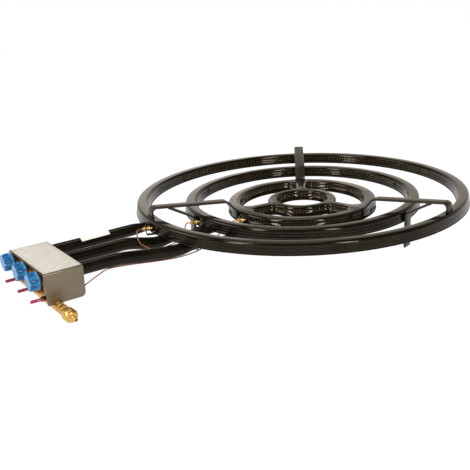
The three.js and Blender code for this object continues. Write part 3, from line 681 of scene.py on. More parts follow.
# %% Inner ring
def plan_plate(low, high, grow, edge):
    """The inner ring's plan as a plate between two levels, with rounded edges."""
    curve = bpy.data.curves.new("plan", "CURVE")
    curve.dimensions, curve.fill_mode = "2D", "BOTH"
    curve.extrude, curve.bevel_depth, curve.bevel_resolution = (high - low) / 2 - edge, edge, 4
    inset = grow - edge
    outlines = [circle_outline(inner.radius + inset, 200)]
    outlines.append(circle_outline(CENTRE_RADIUS - CENTRE_WIDTH - inset, 120))
    outlines += [window_outline(index, inset) for index in range(3)]
    for points in outlines:
        spline = curve.splines.new("POLY")
        spline.points.add(len(points) - 1)
        spline.use_cyclic_u = True
        for point, (x, y) in zip(spline.points, points):
            point.co = (x, y, 0, 1)
    plate = plain_mesh(linked("maker", curve))
    plate.transform(Matrix.Translation((0, 0, (low + high) / 2)))
    return mesh_from(lambda work: work.from_mesh(plate), 1e-3)


foot = inner.bottom + RING_SHEET + SEAT
inner_shell = plan_plate(foot - SHOULDER, inner.top, 0, SHOULDER)
work = bmesh.new()
work.from_mesh(inner_shell)
everything = [*work.verts, *work.edges, *work.faces]
foot_plane = {"plane_co": (0, 0, foot), "plane_no": (0, 0, 1)}
cut = bmesh.ops.bisect_plane(work, geom=everything, clear_inner=True, **foot_plane)
rim = [edge for edge in cut["geom_cut"] if isinstance(edge, bmesh.types.BMEdge)]
bmesh.ops.triangle_fill(work, edges=rim, normal=(0, 0, -1), use_beauty=True)
bmesh.ops.recalc_face_normals(work, faces=work.faces)
work.to_mesh(inner_shell)
work.free()
print("inner ring", len(inner_shell.polygons), "faces")
put("inner_ring_shell", inner_shell, lumpy_enamel, "inner_ring_channel")
inner_base = plan_plate(inner.bottom, inner.bottom + RING_SHEET, RING_LIP, 0.6)
put("inner_ring_base", inner_base, enamel, "inner_ring_pan")

# %% [markdown]
# Flames leave through drilled ports, in two staggered rows on both walls of every ring. The enamel
# draws back round each hole and leaves a small raised rim that catches the light. A tree walks along
# a wall's outline, sets a low cup at even steps, and turns it to face out of the wall. Cups made
# wide are the rims, and narrow dark ones are painted shade where the holes are, so nothing has to be
# cut from the walls.

# %% Flame port tree
flame_ports, given = new_tree(
    "flame_ports", Pitch="Float", Foot="Float", Brim="Float", Outwards="Float", Finish="Material",
)
tangent = node(flame_ports, "GeometryNodeInputTangent")
vector_node = "ShaderNodeVectorMath"
sideways = node(flame_ports, vector_node, {0: tangent, 1: (0, 0, 1)}, operation="CROSS_PRODUCT")
scaled = {0: sideways, "Scale": given["Outwards"]}
facing = node(flame_ports, vector_node, scaled, operation="SCALE")
turn = node(flame_ports, "FunctionNodeAlignRotationToVector", {"Vector": facing}, axis="Z")
cup_sizes = {"Radius Bottom": given["Foot"], "Radius Top": given["Brim"]}
cup_sizes |= {"Vertices": 10, "Depth": 0.35}
cup = node(flame_ports, "GeometryNodeMeshCone", cup_sizes, fill_type="TRIANGLE_FAN")
ports = set_on(flame_ports, even_steps(flame_ports, given), cup, Rotation=turn)
close_tree(flame_ports, ports, given["Finish"])
print("flame port tree", len(flame_ports.nodes), "nodes")

# %% [markdown]
# Each row is a wall's outline at its own height, drawn in as far as the wall's steps below it. The
# lower row starts a little further along than the upper one, so that the holes stagger. The rims on
# the inner walls get a golden metal finish of their own: bare metal at the holes' edges, and partly
# painted glints along their rows.

# %% Flame ports
PORT_RADIUS = 0.95
PORT_RIM = 1.45
PORT_PITCH = 7.0
PORT_ROWS = ((7.3, 2 * WALL_STEP), (12.35, WALL_STEP))
# The narrow second cup is a dark disc: painted shade inside each hole.
PORT_CUPS = ((PORT_RIM, PORT_RADIUS, enamel), (PORT_RADIUS * 0.9, PORT_RADIUS * 0.82, painted_hole_shade))


def port_row(outline, height, outwards, shift):
    """Rims, and dark cups of painted hole shade, along one outline; the row starts partway along its
    first step.
    """
    first = Vector(outline[0]).lerp(Vector(outline[1]), shift)
    line = [(x, y, height) for x, y in (first, *outline[1:])]
    cups = []
    for foot, brim, paint in PORT_CUPS:
        sizes = {"Pitch": PORT_PITCH, "Foot": foot, "Brim": brim, "Outwards": outwards}
        cups.append(run_tree(flame_ports, line_mesh(line, True), **sizes, Finish=paint))
    return cups


walls = []
for ring in (outer, middle):
    for wall, side in ((ring.radius, 1), (ring.radius - INNER_WALL, -1)):
        rows = [circle_outline(wall - side * inset, 240) for drop, inset in PORT_ROWS]
        walls.append((rows, ring.top, side))
plain_walls = [(circle_outline(inner.radius, 200), 1)]
plain_walls.append((circle_outline(CENTRE_RADIUS - CENTRE_WIDTH, 120), -1))
plain_walls += [(window_outline(index), -1) for index in range(3)]
walls += [([outline] * 2, inner.top, side) for outline, side in plain_walls]
rim_meshes, hole_shade_meshes = {1: [], -1: []}, []
for rows, top, side in walls:
    for number, (outline, (drop, inset)) in enumerate(zip(rows, PORT_ROWS)):
        rims, holes = port_row(outline, top - drop, float(side), 0.5 * number)
        rim_meshes[side].append(rims)
        hole_shade_meshes.append(holes)
CUP_SHARP = math.radians(20)
put("outer_port_rims", joined(*rim_meshes[1]), enamel, smooth=CUP_SHARP)
put("inner_port_rims", joined(*rim_meshes[-1]), glinting_port_rim, smooth=CUP_SHARP)
holes = put("flame_port_hole_shade", joined(*hole_shade_meshes), painted_hole_shade)
print("flame ports", len(holes.data.polygons), "faces")

# %% [markdown]
# The pan stands on three flat bars. Each climbs from the outer ring, runs inwards over the middle
# one with a slight fall, and bends down to the inner ring. A second bar under it holds the middle
# ring and ends in a foot. Both are drawn as a side view that follows a bent middle line, made as
# wide as the bar, and rounded at the edges like rolled flat steel.

# %% Bar lines
BAR_WIDTH = 22
BAR_THICKNESS = 4
OUTER_FOOT = outer.radius - RING_WIDTH / 2
KNEE = inner.radius + 22
LEG = inner.radius + SEAT + BAR_THICKNESS / 2
LEG_END = inner.top - 14
SHOULDER_LEVEL = RING_TOP + 18.5
KNEE_LEVEL = RING_TOP + 3.5
SUPPORT_LINE = [
    (OUTER_FOOT, RING_TOP + SEAT), (OUTER_FOOT, SHOULDER_LEVEL), (KNEE, KNEE_LEVEL),
    (LEG, inner.top), (LEG, LEG_END),
]
WELD = OUTER_FOOT - 33
WELD_SHARE = (WELD - KNEE) / (OUTER_FOOT - KNEE)
WELD_LEVEL = KNEE_LEVEL + (SHOULDER_LEVEL - KNEE_LEVEL) * WELD_SHARE
TAB = middle.radius + RING_LIP + SEAT + BAR_THICKNESS / 2
BRACKET_LINE = [(WELD - 1, WELD_LEVEL - 2.1), (TAB, middle.top - 6), (TAB, 0)]


def bent_outline(corners, bend, thickness, steps=8):
    """The side view of a flat bar, bent round each inner corner of its middle line."""
    line = [Vector(corner) for corner in corners]
    ways = [(after - before).normalized() for before, after in zip(line, line[1:])]
    left, right = [], []

    def mark(point, way):
        side = Vector((-way.y, way.x)) * thickness / 2
        left.append(tuple(point + side))
        right.append(tuple(point - side))

    mark(line[0], ways[0])
    for corner, before, after in zip(line[1:], ways, ways[1:]):
        turn = math.atan2(before.x * after.y - before.y * after.x, before.dot(after))
        start = corner - before * bend * math.tan(abs(turn) / 2)
        centre = start + Vector((-before.y, before.x)) * math.copysign(bend, turn)
        for step in range(steps + 1):
            spin = Matrix.Rotation(turn * step / steps, 2)
            mark(centre + spin @ (start - centre), spin @ before)
    mark(line[-1], ways[-1])
    return left + right[::-1]


print("weld level", round(WELD_LEVEL, 2))

# %% [markdown]
# The bars are drawn out once for each of the three places, and turned about the rings' axis. An
# array about a centre would do it too, but each bar stands for a CAD part of its own, so each has
# to be its own piece.

# %% Bent bars
def bar_mesh(line, bend, angle):
    side_view = bent_outline(line, bend, BAR_THICKNESS)
    flat = prism(side_view, -BAR_WIDTH / 2, BAR_WIDTH / 2, "y", edge=0.9)
    flat.transform(Matrix.Rotation(math.radians(angle), 4, "Z"))
    return flat


BARS = (
    ("support_bar_", SUPPORT_LINE, 9, "pan_support_"),
    ("leg_bar_", BRACKET_LINE, 7, "leg_bracket_"),
)
for index, angle in enumerate(SUPPORT_ANGLES, 1):
    for name, line, bend, stands_for in BARS:
        bar = bar_mesh(line, bend, angle)
        put(f"{name}{index}", bar, bar_enamel, f"{stands_for}{index}")
print("bars at", SUPPORT_ANGLES, "degrees")

# %% [markdown]
# Weld beads are rows of overlapping scales along a seam, softened by the enamel over them. A tree
# walks along the seam and sets balls a step apart with a seeded change of size. There are five
# seams at each support, and the beads are one piece for the whole burner.

# %% Weld beads
weld_bead, given = new_tree(
    "weld_bead", Pitch="Float", Radius="Float", Seed="Int", Finish="Material",
)
ball_inputs = {"Segments": 10, "Rings": 6, "Radius": given["Radius"]}
ball = node(weld_bead, "GeometryNodeMeshUVSphere", ball_inputs)
uneven = node(weld_bead, "FunctionNodeRandomValue", {2: 0.8, 3: 1.15, "Seed": given["Seed"]}, 1)
beads = set_on(weld_bead, even_steps(weld_bead, given), ball, Scale=uneven)
close_tree(weld_bead, beads, given["Finish"])
SEAMS = (
    (OUTER_FOOT + 2.4, RING_TOP + 0.3), (OUTER_FOOT - 2.4, RING_TOP + 0.3), (LEG - 2.0, LEG_END),
    (WELD - 3, WELD_LEVEL - 4.4), (TAB - 2.0, middle.bottom + 2),
)
half = BAR_WIDTH / 2 - 1
seams = []
for number, angle in enumerate(SUPPORT_ANGLES):
    spin = Matrix.Rotation(math.radians(angle), 4, "Z")
    for place, (reach, level) in enumerate(SEAMS):
        ends = [spin @ Vector((reach, side * half, level)) for side in (-1, 1)]
        sizes = {"Pitch": 1.5, "Radius": 1.5, "Seed": number * 7 + place, "Finish": enamel}
        seams.append(run_tree(weld_bead, line_mesh(ends), **sizes))
beads = put("weld_beads", joined(*seams), enamel, smooth=math.radians(60))
print("weld beads", len(beads.data.polygons), "faces")

# %% [markdown]
# The mixing tubes leave the box round and level. The left one runs straight to the outer ring and
# under it, and the others dip and are pressed flatter where they pass under a ring. Each is a chain
# of stations, and a station says where the tube is, how tall and how wide.

# %% Tube stations
BOX_REAR = -534
MOUTH = 14
LEAD = 45
MIDDLE_DIP = 75
DENT_LENGTH = 30
DENT = 0.8
FLAT = 0.6
FLAT_WIDE = 1.2
LEAN = 5
PITCH = 60
TAP_PLACES = (-PITCH, 0, PITCH)
TAP_HEIGHT = 63
TUBE_RADIUS = 11.4
TUBE_WALL = 1.2
INLET_RADIUS = 6


def edge_at(radius, x):
    return -math.sqrt(radius * radius - x * x)


def under_ring(ring, x, entry, leave):
    level = ring.bottom - 2 * SEAT
    near, far = edge_at(ring.radius + RING_LIP, x), edge_at(ring.radius - RING_WIDTH - RING_LIP, x)
    return [
        (x, near, level - TUBE_RADIUS * entry, entry, 1),
        (x, far, level - TUBE_RADIUS * leave, leave, FLAT_WIDE),
    ]


def into_ring(ring, x, level=None, entry=FLAT, entry_wide=FLAT_WIDE):
    if level is None:
        level = ring.bottom - TUBE_RADIUS * FLAT * 0.4
    end = edge_at(ring.radius - RING_WIDTH / 2, x) + INLET_RADIUS + 2 * TUBE_WALL
    near = edge_at(ring.radius + RING_LIP, x)
    return [(x, near, level, entry, entry_wide), (x, end, level, FLAT, 1)]


def level_run(x, *ends):
    return [(x, y, TAP_HEIGHT, 1, 1) for y in ends]


left, right = -PITCH - LEAN, PITCH + LEAN
box_run = BOX_REAR - MOUTH, BOX_REAR + LEAD
lean_end = edge_at(outer.radius, left) - DENT_LENGTH
TUBES = {
    "outer": [
        *level_run(-PITCH, *box_run), *level_run(left, lean_end),
        *into_ring(outer, left, TAP_HEIGHT, DENT, 1),
    ],
    "middle": [
        *level_run(0, *box_run, edge_at(outer.radius, 0) - MIDDLE_DIP),
        *under_ring(outer, 0, 1, DENT), *into_ring(middle, 8),
    ],
    "inner": [
        *level_run(PITCH, *box_run), *under_ring(outer, right, 1, DENT),
        *under_ring(middle, right, FLAT, FLAT), *into_ring(inner, right),
    ],
}
print("tube stations", {name: len(stations) for name, stations in TUBES.items()})

# %% [markdown]
# Between stations the tube eases from one shape to the next, as pressed tube does, so rows of ovals
# are laid closely along it and skinned. The thin wall shows at the open mouth inside the box. Each
# tube ends at its own ring, so the room that the ring takes up is cut from it.

# %% Mixing tubes
TUBE_SIDES = 40
MOUTH_DEPTH = 6


def ease(share):
    return share * share * (3 - 2 * share)


def tube_rows(stations, steps=10):
    rows = [stations[0]]
    for before, after in zip(stations, stations[1:]):
        for step in range(1, steps + 1):
            share = ease(step / steps)
            row = [a + (b - a) * share for a, b in zip(before, after)]
            row[1] = before[1] + (after[1] - before[1]) * step / steps
            rows.append(tuple(row))
    return rows


def tube_oval(rows, index, drawn_in=0, shift=0):
    x, y, z, tall, wide = rows[index]
    before, after = rows[max(index - 1, 0)], rows[min(index + 1, len(rows) - 1)]
    way = (Vector(after[:3]) - Vector(before[:3])).normalized()
    side = Vector((way.y, -way.x, 0)).normalized()
    up = side.cross(way)
    oval = []
    for i in range(TUBE_SIDES):
        angle = 2 * math.pi * i / TUBE_SIDES
        out = side * math.cos(angle) * (TUBE_RADIUS * wide - drawn_in)
        out += up * math.sin(angle) * (TUBE_RADIUS * tall - drawn_in)
        oval.append(Vector((x, y, z)) + way * shift + out)
    return oval


def tube_mesh(stations):
    rows = tube_rows(stations)
    mouth = [tube_oval(rows, 0, TUBE_WALL, depth) for depth in (MOUTH_DEPTH, 0)]
    return skinned([*mouth, *[tube_oval(rows, index) for index in range(len(rows))]], ends=True)


def ring_space(ring):
    """The room that a ring takes up, with its lip and a little clearance."""
    near, far = ring.radius - INNER_WALL - RING_LIP - SEAT, ring.radius + RING_LIP + SEAT
    low, high = ring.bottom - SEAT, RING_TOP + 5
    profile = [(low, near), (low, far), (high, far), (high, near), (low, near)]
    return turned(profile, "z", facets=240, edge=0)


for name, stations in TUBES.items():
    skin = boolean(tube_mesh(stations), ring_space(RINGS[name]))
    print(name, "tube", len(skin.polygons), "faces")
    put(name + "_tube_skin", skin, tube_enamel, name + "_mixing_tube")

# %% [markdown]
# The control box is one folded stainless sheet, open in front, behind and below. Its fold, as seen
# from the front, is drawn out along the box's depth. A side view then trims it: the rear edge slopes
# a little forward on its way down, and the lower corners are rounded. A notch lets the rail pass.

# %% Control cover
BOX_WIDTH = 160
BOX_DEPTH = 68
BOX_TOP = 77
BOX_BOTTOM = 22
BOX_SHEET = 1.2
BOX_BEND = 2
BOX_SLOPE = 2
FRONT_CORNER = 3
REAR_CORNER = 8
BOX_FRONT = BOX_REAR - BOX_DEPTH
HEM = 2.5
RAIL_Y = BOX_FRONT + 18.5
RAIL_HEIGHT = 16
RAIL_RADIUS = 9
RAIL_BORE = 6
PAST = 5  # how far a tool reaches past what it cuts


def side_outline():
    """The cover seen from its side, in [y, z], with rounded lower corners."""
    near, far = FRONT_CORNER, REAR_CORNER
    front = arc((BOX_FRONT + near, BOX_BOTTOM + near), near, math.pi, 1.5 * math.pi, 6)
    rear_centre = (BOX_REAR - BOX_SLOPE - far, BOX_BOTTOM + far)
    rear = arc(rear_centre, far, 1.5 * math.pi, 2 * math.pi - 0.04, 6)
    top = BOX_TOP + PAST
    return [(BOX_FRONT, top), *front, *rear, (BOX_REAR, BOX_TOP), (BOX_REAR, top)]


reach = (BOX_WIDTH - BOX_SHEET) / 2
crown = BOX_TOP - BOX_SHEET / 2
low = BOX_BOTTOM - PAST
fold = bent_outline([(-reach, low), (-reach, crown), (reach, crown), (reach, low)],
                    BOX_BEND, BOX_SHEET, 6)
hood = prism(fold, BOX_FRONT - PAST, BOX_REAR + PAST, "y", edge=0)
trim = prism(side_outline(), -BOX_WIDTH, BOX_WIDTH, "x", edge=0)
notch = turned(capped([(end, RAIL_RADIUS + SEAT) for end in (-BOX_WIDTH, BOX_WIDTH)]), "x",
               (0, RAIL_Y, RAIL_HEIGHT), edge=0)
hood = rounded(boolean(boolean(hood, trim, "INTERSECT"), notch), 0.25, 50)
hems = []
hem_top = BOX_TOP - BOX_SHEET + 0.05  # a hair into the sheet above it
for y in (BOX_FRONT, BOX_REAR - BOX_SHEET):
    low, high = (BOX_BEND - reach, y, BOX_TOP - HEM), (reach - BOX_BEND, y + BOX_SHEET, hem_top)
    hems.append(box_mesh(low, high))
put("cover_hood", joined(hood, *hems), stainless, "control_cover")
print("cover", len(hood.polygons), "faces")

# %% [markdown]
# The tube plate stands in the back of the cover, with a round hole for each tube. It is a folded
# sheet, too, and gets its three holes by boolean cuts.

# %% Tube plate
plate_back = BOX_REAR - 5
plate_half = reach - BOX_SHEET - 2
plate_low, plate_high = TAP_HEIGHT - TUBE_RADIUS - 6, BOX_TOP - BOX_SHEET - SEAT
lap = plate_back - 12
fold = [(-plate_half, lap), (-plate_half, plate_back), (plate_half, plate_back), (plate_half, lap)]
plate = prism(bent_outline(fold, BOX_BEND, BOX_SHEET, 6), plate_low, plate_high, "z", edge=0)
drill = capped([(plate_back + end, TUBE_RADIUS + SEAT) for end in (-PAST, PAST)])
for x in TAP_PLACES:
    plate = boolean(plate, turned(drill, "y", (x, 0, TAP_HEIGHT), edge=0))
put("rear_plate", rounded(plate, 0.2, 50), plate_steel, "tube_plate")
print("tube plate at y", plate_back)

# %% [markdown]
# A pale foil label covers nearly the whole top of the box. It is bare but for a fine frame line near
# its edge. Foil and line are thin skins that lie on each other, with the foil's corners rounded.

# %% Label on the box
LABEL_MARGIN = 3.2
LABEL_THICKNESS = 0.15
LINE_INSET, LINE_WIDTH, LINE_THICKNESS = 3.5, 0.6, 0.02
label_low_x, label_high_x = -BOX_WIDTH / 2 + LABEL_MARGIN, BOX_WIDTH / 2 - LABEL_MARGIN
label_low_y, label_high_y = BOX_FRONT + 2.5, BOX_REAR - 1.5
label_top = BOX_TOP + LABEL_THICKNESS
plan = rounded_section(label_low_x, label_high_x, label_low_y, label_high_y, 1.5, 1.5, 5)
foil = prism(plan, BOX_TOP, label_top, edge=0.05)
put("cover_label", foil, label_foil)
low_x, high_x = label_low_x + LINE_INSET, label_high_x - LINE_INSET
low_y, high_y = label_low_y + LINE_INSET, label_high_y - LINE_INSET
lines = [
    box_mesh((x1, y1, label_top), (x2, y2, label_top + LINE_THICKNESS), edge=0)
    for x1, x2, y1, y2 in (
        (low_x, high_x, low_y, low_y + LINE_WIDTH), (low_x, high_x, high_y - LINE_WIDTH, high_y),
        (low_x, low_x + LINE_WIDTH, low_y, high_y), (high_x - LINE_WIDTH, high_x, low_y, high_y),
    )
]
put("cover_label_line", joined(*lines), label_line)
print("foil", label_high_x - label_low_x, "by", label_high_y - label_low_y)

# %% [markdown]
# The small paper label on the left tube is bare. It follows the tube's curve and its lean, so its
# section is two arcs about the tube's middle, laid row by row along the tube.

# %% Label on a tube
STICKER_START, STICKER_END = -479, -422
STICKER_TURN = math.radians(78)
STICKER_REACH = math.radians(42)
STICKER_ROWS = 8
STICKER_ANGLES = [STICKER_TURN + STICKER_REACH * (i / 6 - 1) for i in range(13)]


def sticker_row(y):
    """One loop round the label's section: over the paper, and back along the tube."""
    share = (y - box_run[1]) / (lean_end - box_run[1])
    x = -PITCH - LEAN * ease(min(max(share, 0), 1))
    loop = [(TUBE_RADIUS + 0.05, angle) for angle in STICKER_ANGLES]
    loop += [(TUBE_RADIUS + 0.2, angle) for angle in reversed(STICKER_ANGLES)]
    return [(x + r * math.cos(turn), y, TAP_HEIGHT + r * math.sin(turn)) for r, turn in loop]


step = (STICKER_END - STICKER_START) / STICKER_ROWS
rows = [sticker_row(STICKER_START + step * number) for number in range(STICKER_ROWS + 1)]
put("tube_sticker", skinned(rows, ends=True), sticker_paper)
print("tube label", STICKER_END - STICKER_START, "long")

# %% [markdown]
# Three identical valves stand side by side in the box. Each has a tap above with its spindle, a
# safety valve below with its push rod, and a square tower between them, on a saddle over the rail.
# A gas jet looks out of its back, and below it sits the magnet's housing with its nut.

# %% Valves
VALVE_FRONT = BOX_FRONT + 6
SAFETY_HEIGHT = 29
TAP_RADIUS = 10
TAP_DEPTH = 34
SAFETY_RADIUS = 10
SAFETY_DEPTH = 38
TOWER_HALF, SADDLE_HALF, SADDLE_REACH = 9, 8, 6.4
BONNET_FRONT = BOX_FRONT - SEAT
TAP_BACK = VALVE_FRONT + TAP_DEPTH
SAFETY_BACK = VALVE_FRONT + SAFETY_DEPTH
MAGNET_FRONT = SAFETY_BACK + SEAT
MAGNET_BACK = MAGNET_FRONT + 18
TAP_STEPS = capped([
    (BONNET_FRONT, 7.5), (VALVE_FRONT, 7.5), (VALVE_FRONT, TAP_RADIUS), (TAP_BACK - 4, TAP_RADIUS),
    (TAP_BACK - 3, 8.5), (TAP_BACK, 8.5),
])
SAFETY_STEPS = capped([
    (VALVE_FRONT, 8.5), (VALVE_FRONT + 2, SAFETY_RADIUS), (SAFETY_BACK - 8, SAFETY_RADIUS),
    (SAFETY_BACK - 8, 8.8), (SAFETY_BACK - 5, 8.8), (SAFETY_BACK - 5, SAFETY_RADIUS),
    (SAFETY_BACK, SAFETY_RADIUS),
])
JET_STEPS = [
    (TAP_BACK + along, radius) for along, radius in (
        (SEAT, 0), (SEAT, 6), (5.3, 6), (5.3, 4), (12.3, 4), (16.3, 2.5), (16.3, 0.8), (13.3, 0.8),
        (13.3, 0),
    )
]
MAGNET_STEPS = capped([(MAGNET_FRONT, 7), (MAGNET_FRONT + 10, 7), (MAGNET_FRONT + 12, 5.6)])

for index, x in enumerate(TAP_PLACES, 1):
    above, below = (x, 0, TAP_HEIGHT), (x, 0, SAFETY_HEIGHT)
    low = (x - TOWER_HALF, VALVE_FRONT + 0.5, SAFETY_HEIGHT)
    high = (x + TOWER_HALF, VALVE_FRONT + 23.5, TAP_HEIGHT)
    tower = box_mesh(low, high, 1.2)
    low = (x - SADDLE_HALF, RAIL_Y - SADDLE_REACH, RAIL_HEIGHT + 7.2)
    high = (x + SADDLE_HALF, RAIL_Y + SADDLE_REACH, SAFETY_HEIGHT)
    saddle = box_mesh(low, high, 1.0)
    tap, safety = turned(TAP_STEPS, "y", above), turned(SAFETY_STEPS, "y", below)
    casting = joined(tap, safety, tower, saddle)
    put(f"valve_casting_{index}", casting, cast_brass_and_shade, f"valve_body_{index}")
    jet = turned(JET_STEPS, "y", above, edge=0.2)
    put(f"gas_jet_{index}", jet, brass, f"injector_{index}")
    nut = prism(hexagon(4.5), MAGNET_FRONT + 12, MAGNET_BACK, "y", below, 0.4)
    housing = joined(turned(MAGNET_STEPS, "y", below), nut)
    put(f"magnet_housing_{index}", housing, brass, f"magnet_unit_{index}")
print("valves from y", VALVE_FRONT, "to", SAFETY_BACK)

# %% [markdown]
# A knob has eight finger lobes, soft edges, and a skirt that laps over its black collar. It is drawn
# row by row: a lobed outline shrinks and rounds towards the front face, and turns nearly round at
# the skirt. The profile gives each row's depth behind the face, how far it is drawn in, and the
# share of the valleys' depth that it keeps.

# %% Knob shape
STEM_RADIUS = 3
COLLAR_RADIUS = 14
COLLAR_THICKNESS = 5.6
COLLAR_FRONT = BONNET_FRONT - SEAT - COLLAR_THICKNESS
COLLAR_BACK = COLLAR_FRONT + COLLAR_THICKNESS
KNOB_RADIUS = 16.2
KNOB_FACE = COLLAR_FRONT - SEAT - 14
KNOB_BACK = COLLAR_FRONT + 2.6
SKIRT_RADIUS = COLLAR_RADIUS + 0.5
LOBES = 8
LOBE_DEPTH = 3.4
LOBE_CURVE = 0.85
KNOB_POINTS = 128


def knob_row(depth, inset, share):
    row = []
    for i in range(KNOB_POINTS):
        angle = 2 * math.pi * i / KNOB_POINTS
        dip = abs(math.sin(LOBES * angle / 2)) ** LOBE_CURVE
        out = KNOB_RADIUS - inset - LOBE_DEPTH * share * dip
        row.append((out * math.sin(angle), KNOB_FACE + depth, TAP_HEIGHT + out * math.cos(angle)))
    return row


def knob_body():
    length, seat = KNOB_BACK - KNOB_FACE, COLLAR_FRONT - SEAT / 2 - KNOB_FACE
    skirt = KNOB_RADIUS - SKIRT_RADIUS
    profile = [
        (0.9, 6.5, 0), (0.7, 4.6, 0.2), (0.9, 2.9, 0.6), (1.6, 1.5, 0.85), (2.7, 0.6, 1.0),
        (4.5, 0.15, 1.0), (8, 0, 1.0), (length - 4.2, 0, 0.9), (length - 2.7, 0.2, 0.45),
        (length - 0.5, 0.3, 0.3), (length, 0.8, 0.25), (length, skirt, 0), (seat, skirt, 0),
    ]
    tips = [[(0, KNOB_FACE + depth, TAP_HEIGHT)] for depth in (0.9, seat)]
    return skinned([tips[0], *[knob_row(*step) for step in profile], tips[1]])


print("knob from y", round(KNOB_FACE, 1), "to", round(KNOB_BACK, 1))

# %% [markdown]
# Every valley has three short ribs for the fingers. A tree sets a small block at each valley of a
# circle, turned to face the axis, and stacks three such circles. The ring lies flat as it is made,
# so it is stood up afterwards to face along Y.

# %% Knob ribs
grip_ribs, given = new_tree(
    "grip_ribs", Radius="Float", Count="Int", Length="Float", Finish="Material",
)
valleys = circle_curve(grip_ribs, given["Radius"], given["Count"])
place = node(grip_ribs, "GeometryNodeInputPosition")
turn = node(grip_ribs, "FunctionNodeAlignRotationToVector", {"Vector": place}, axis="X")
block_size = {"X": 1.0, "Y": 3.4, "Z": given["Length"]}
size = node(grip_ribs, "ShaderNodeCombineXYZ", block_size)
block = node(grip_ribs, "GeometryNodeMeshCube", {"Size": size})
circle_of_ribs = set_on(grip_ribs, valleys, block, Rotation=turn)
real = node(grip_ribs, "GeometryNodeRealizeInstances", {"Geometry": circle_of_ribs})
stack = node(grip_ribs, "GeometryNodeMeshLine", {"Count": 3, "Offset": (0, 0, 2.3)})
close_tree(grip_ribs, set_on(grip_ribs, stack, real), given["Finish"])


def knob_ribs():
    sizes = {"Radius": KNOB_RADIUS - LOBE_DEPTH - 0.2, "Count": LOBES, "Length": 1.0}
    mesh = run_tree(grip_ribs, line_mesh([(0, 0, 0), (0, 0, 1)]), **sizes, Finish=knob_blue)
    stand = Matrix.Rotation(math.radians(90), 4, "X") @ Matrix.Rotation(math.pi / LOBES, 4, "Z")
    mesh.transform(Matrix.Translation((0, KNOB_FACE + 10.8, TAP_HEIGHT)) @ stand)
    return rounded(mesh, 0.3)


print("rib tree", len(grip_ribs.nodes), "nodes")

# %% [markdown]
# Little light gets into a valley, so the blue is darker near the knob's axis, except on the front
# face. The tree measures how far a point is from its own knob's axis: wrapping X over the knobs'
# pitch makes all three knobs one. It reads Object coordinates, so the shade stays on the knob.

# %% Shade in the valleys
def shade_valleys(material, dark):
    tree = material.node_tree
    base = tree.nodes["Principled BSDF"].inputs["Base Color"]
    place = node(tree, "ShaderNodeTexCoord", out="Object")
    x, y, z = node(tree, "ShaderNodeSeparateXYZ", {"Vector": place}, None)
    across = maths(tree, "WRAP", x, PITCH * MM / 2, -PITCH * MM / 2)
    up = maths(tree, "SUBTRACT", z, TAP_HEIGHT * MM)
    flat = node(tree, "ShaderNodeCombineXYZ", {"X": across, "Y": up})
    out = node(tree, "ShaderNodeVectorMath", {0: flat}, "Value", operation="LENGTH")
    ridge = ramp(tree, out, (KNOB_RADIUS - LOBE_DEPTH) * MM, (KNOB_RADIUS - 0.5) * MM)
    front = AXIS_Y + KNOB_FACE * MM
    face = ramp(tree, y, front + 0.0026, front + 0.0012)
    share = maths(tree, "MAXIMUM", ridge, face)
    tree.links.new(mix_colour(tree, share, dark, base.links[0].from_socket), base)


shade_valleys(knob_blue, (0.002, 0.055, 0.17))
print("knob finish", len(knob_blue.node_tree.nodes), "nodes")

# %% [markdown]
# The moving parts of a tap are its spindle, the collar and the knob with a small pointer line. All
# of them turn together, so they ride on the tap's body and not on the burner's.

# %% Knobs in place
POINTER_LOW, POINTER_HIGH = 4.5, 12.3
BORE = STEM_RADIUS + SEAT
COLLAR_STEPS = [
    (COLLAR_FRONT, BORE), (COLLAR_FRONT, COLLAR_RADIUS - 2), (COLLAR_FRONT + 1.5, COLLAR_RADIUS - 0.3),
    (COLLAR_FRONT + 2, COLLAR_RADIUS), (COLLAR_BACK, COLLAR_RADIUS), (COLLAR_BACK, BORE),
    (COLLAR_FRONT, BORE),
]
STEM_STEPS = capped([(COLLAR_FRONT - 8, STEM_RADIUS), (BONNET_FRONT + 19.7, STEM_RADIUS)])

for index, x in enumerate(TAP_PLACES, 1):
    body, axis_place = f"tap_{index}", (x, 0, TAP_HEIGHT)
    grip = joined(knob_body(), knob_ribs())
    grip.transform(Matrix.Translation((x, 0, 0)))
    put(f"knob_grip_{index}", grip, knob_blue, f"knob_{index}", body)
    low = (x - 0.6, KNOB_FACE + 0.5, TAP_HEIGHT + POINTER_LOW)
    high = (x + 0.6, KNOB_FACE + 1.1, TAP_HEIGHT + POINTER_HIGH)
    put(f"knob_pointer_{index}", box_mesh(low, high, 0.2), knob_mark, "", body)
    collar = turned(COLLAR_STEPS, "y", axis_place, 64, 0.3)
    put(f"tap_collar_{index}", collar, collar_black, f"knob_collar_{index}", body)
    spindle = turned(STEM_STEPS, "y", axis_place, 32, 0.3)
    put(f"tap_spindle_{index}", spindle, brass, f"tap_stem_{index}", body)
print("knobs made")

# %% [markdown]
# Under each tap a red push rod opens the safety valve. It slides in a hexagonal gland, and it is a
# plain round bar with a soft tip, so both are drawn straight from their outlines.

# %% Push rods
BUTTON_RADIUS = 2.8
GLAND_FRONT = VALVE_FRONT - SEAT - 8
BUTTON_FRONT = GLAND_FRONT - 18.5
ROD_STEPS = [
    (BUTTON_FRONT, 0), (BUTTON_FRONT, 1.6), (BUTTON_FRONT + 0.35, 2.3),
    (BUTTON_FRONT + 1.0, BUTTON_RADIUS), (VALVE_FRONT + 4, BUTTON_RADIUS), (VALVE_FRONT + 4, 0),
]

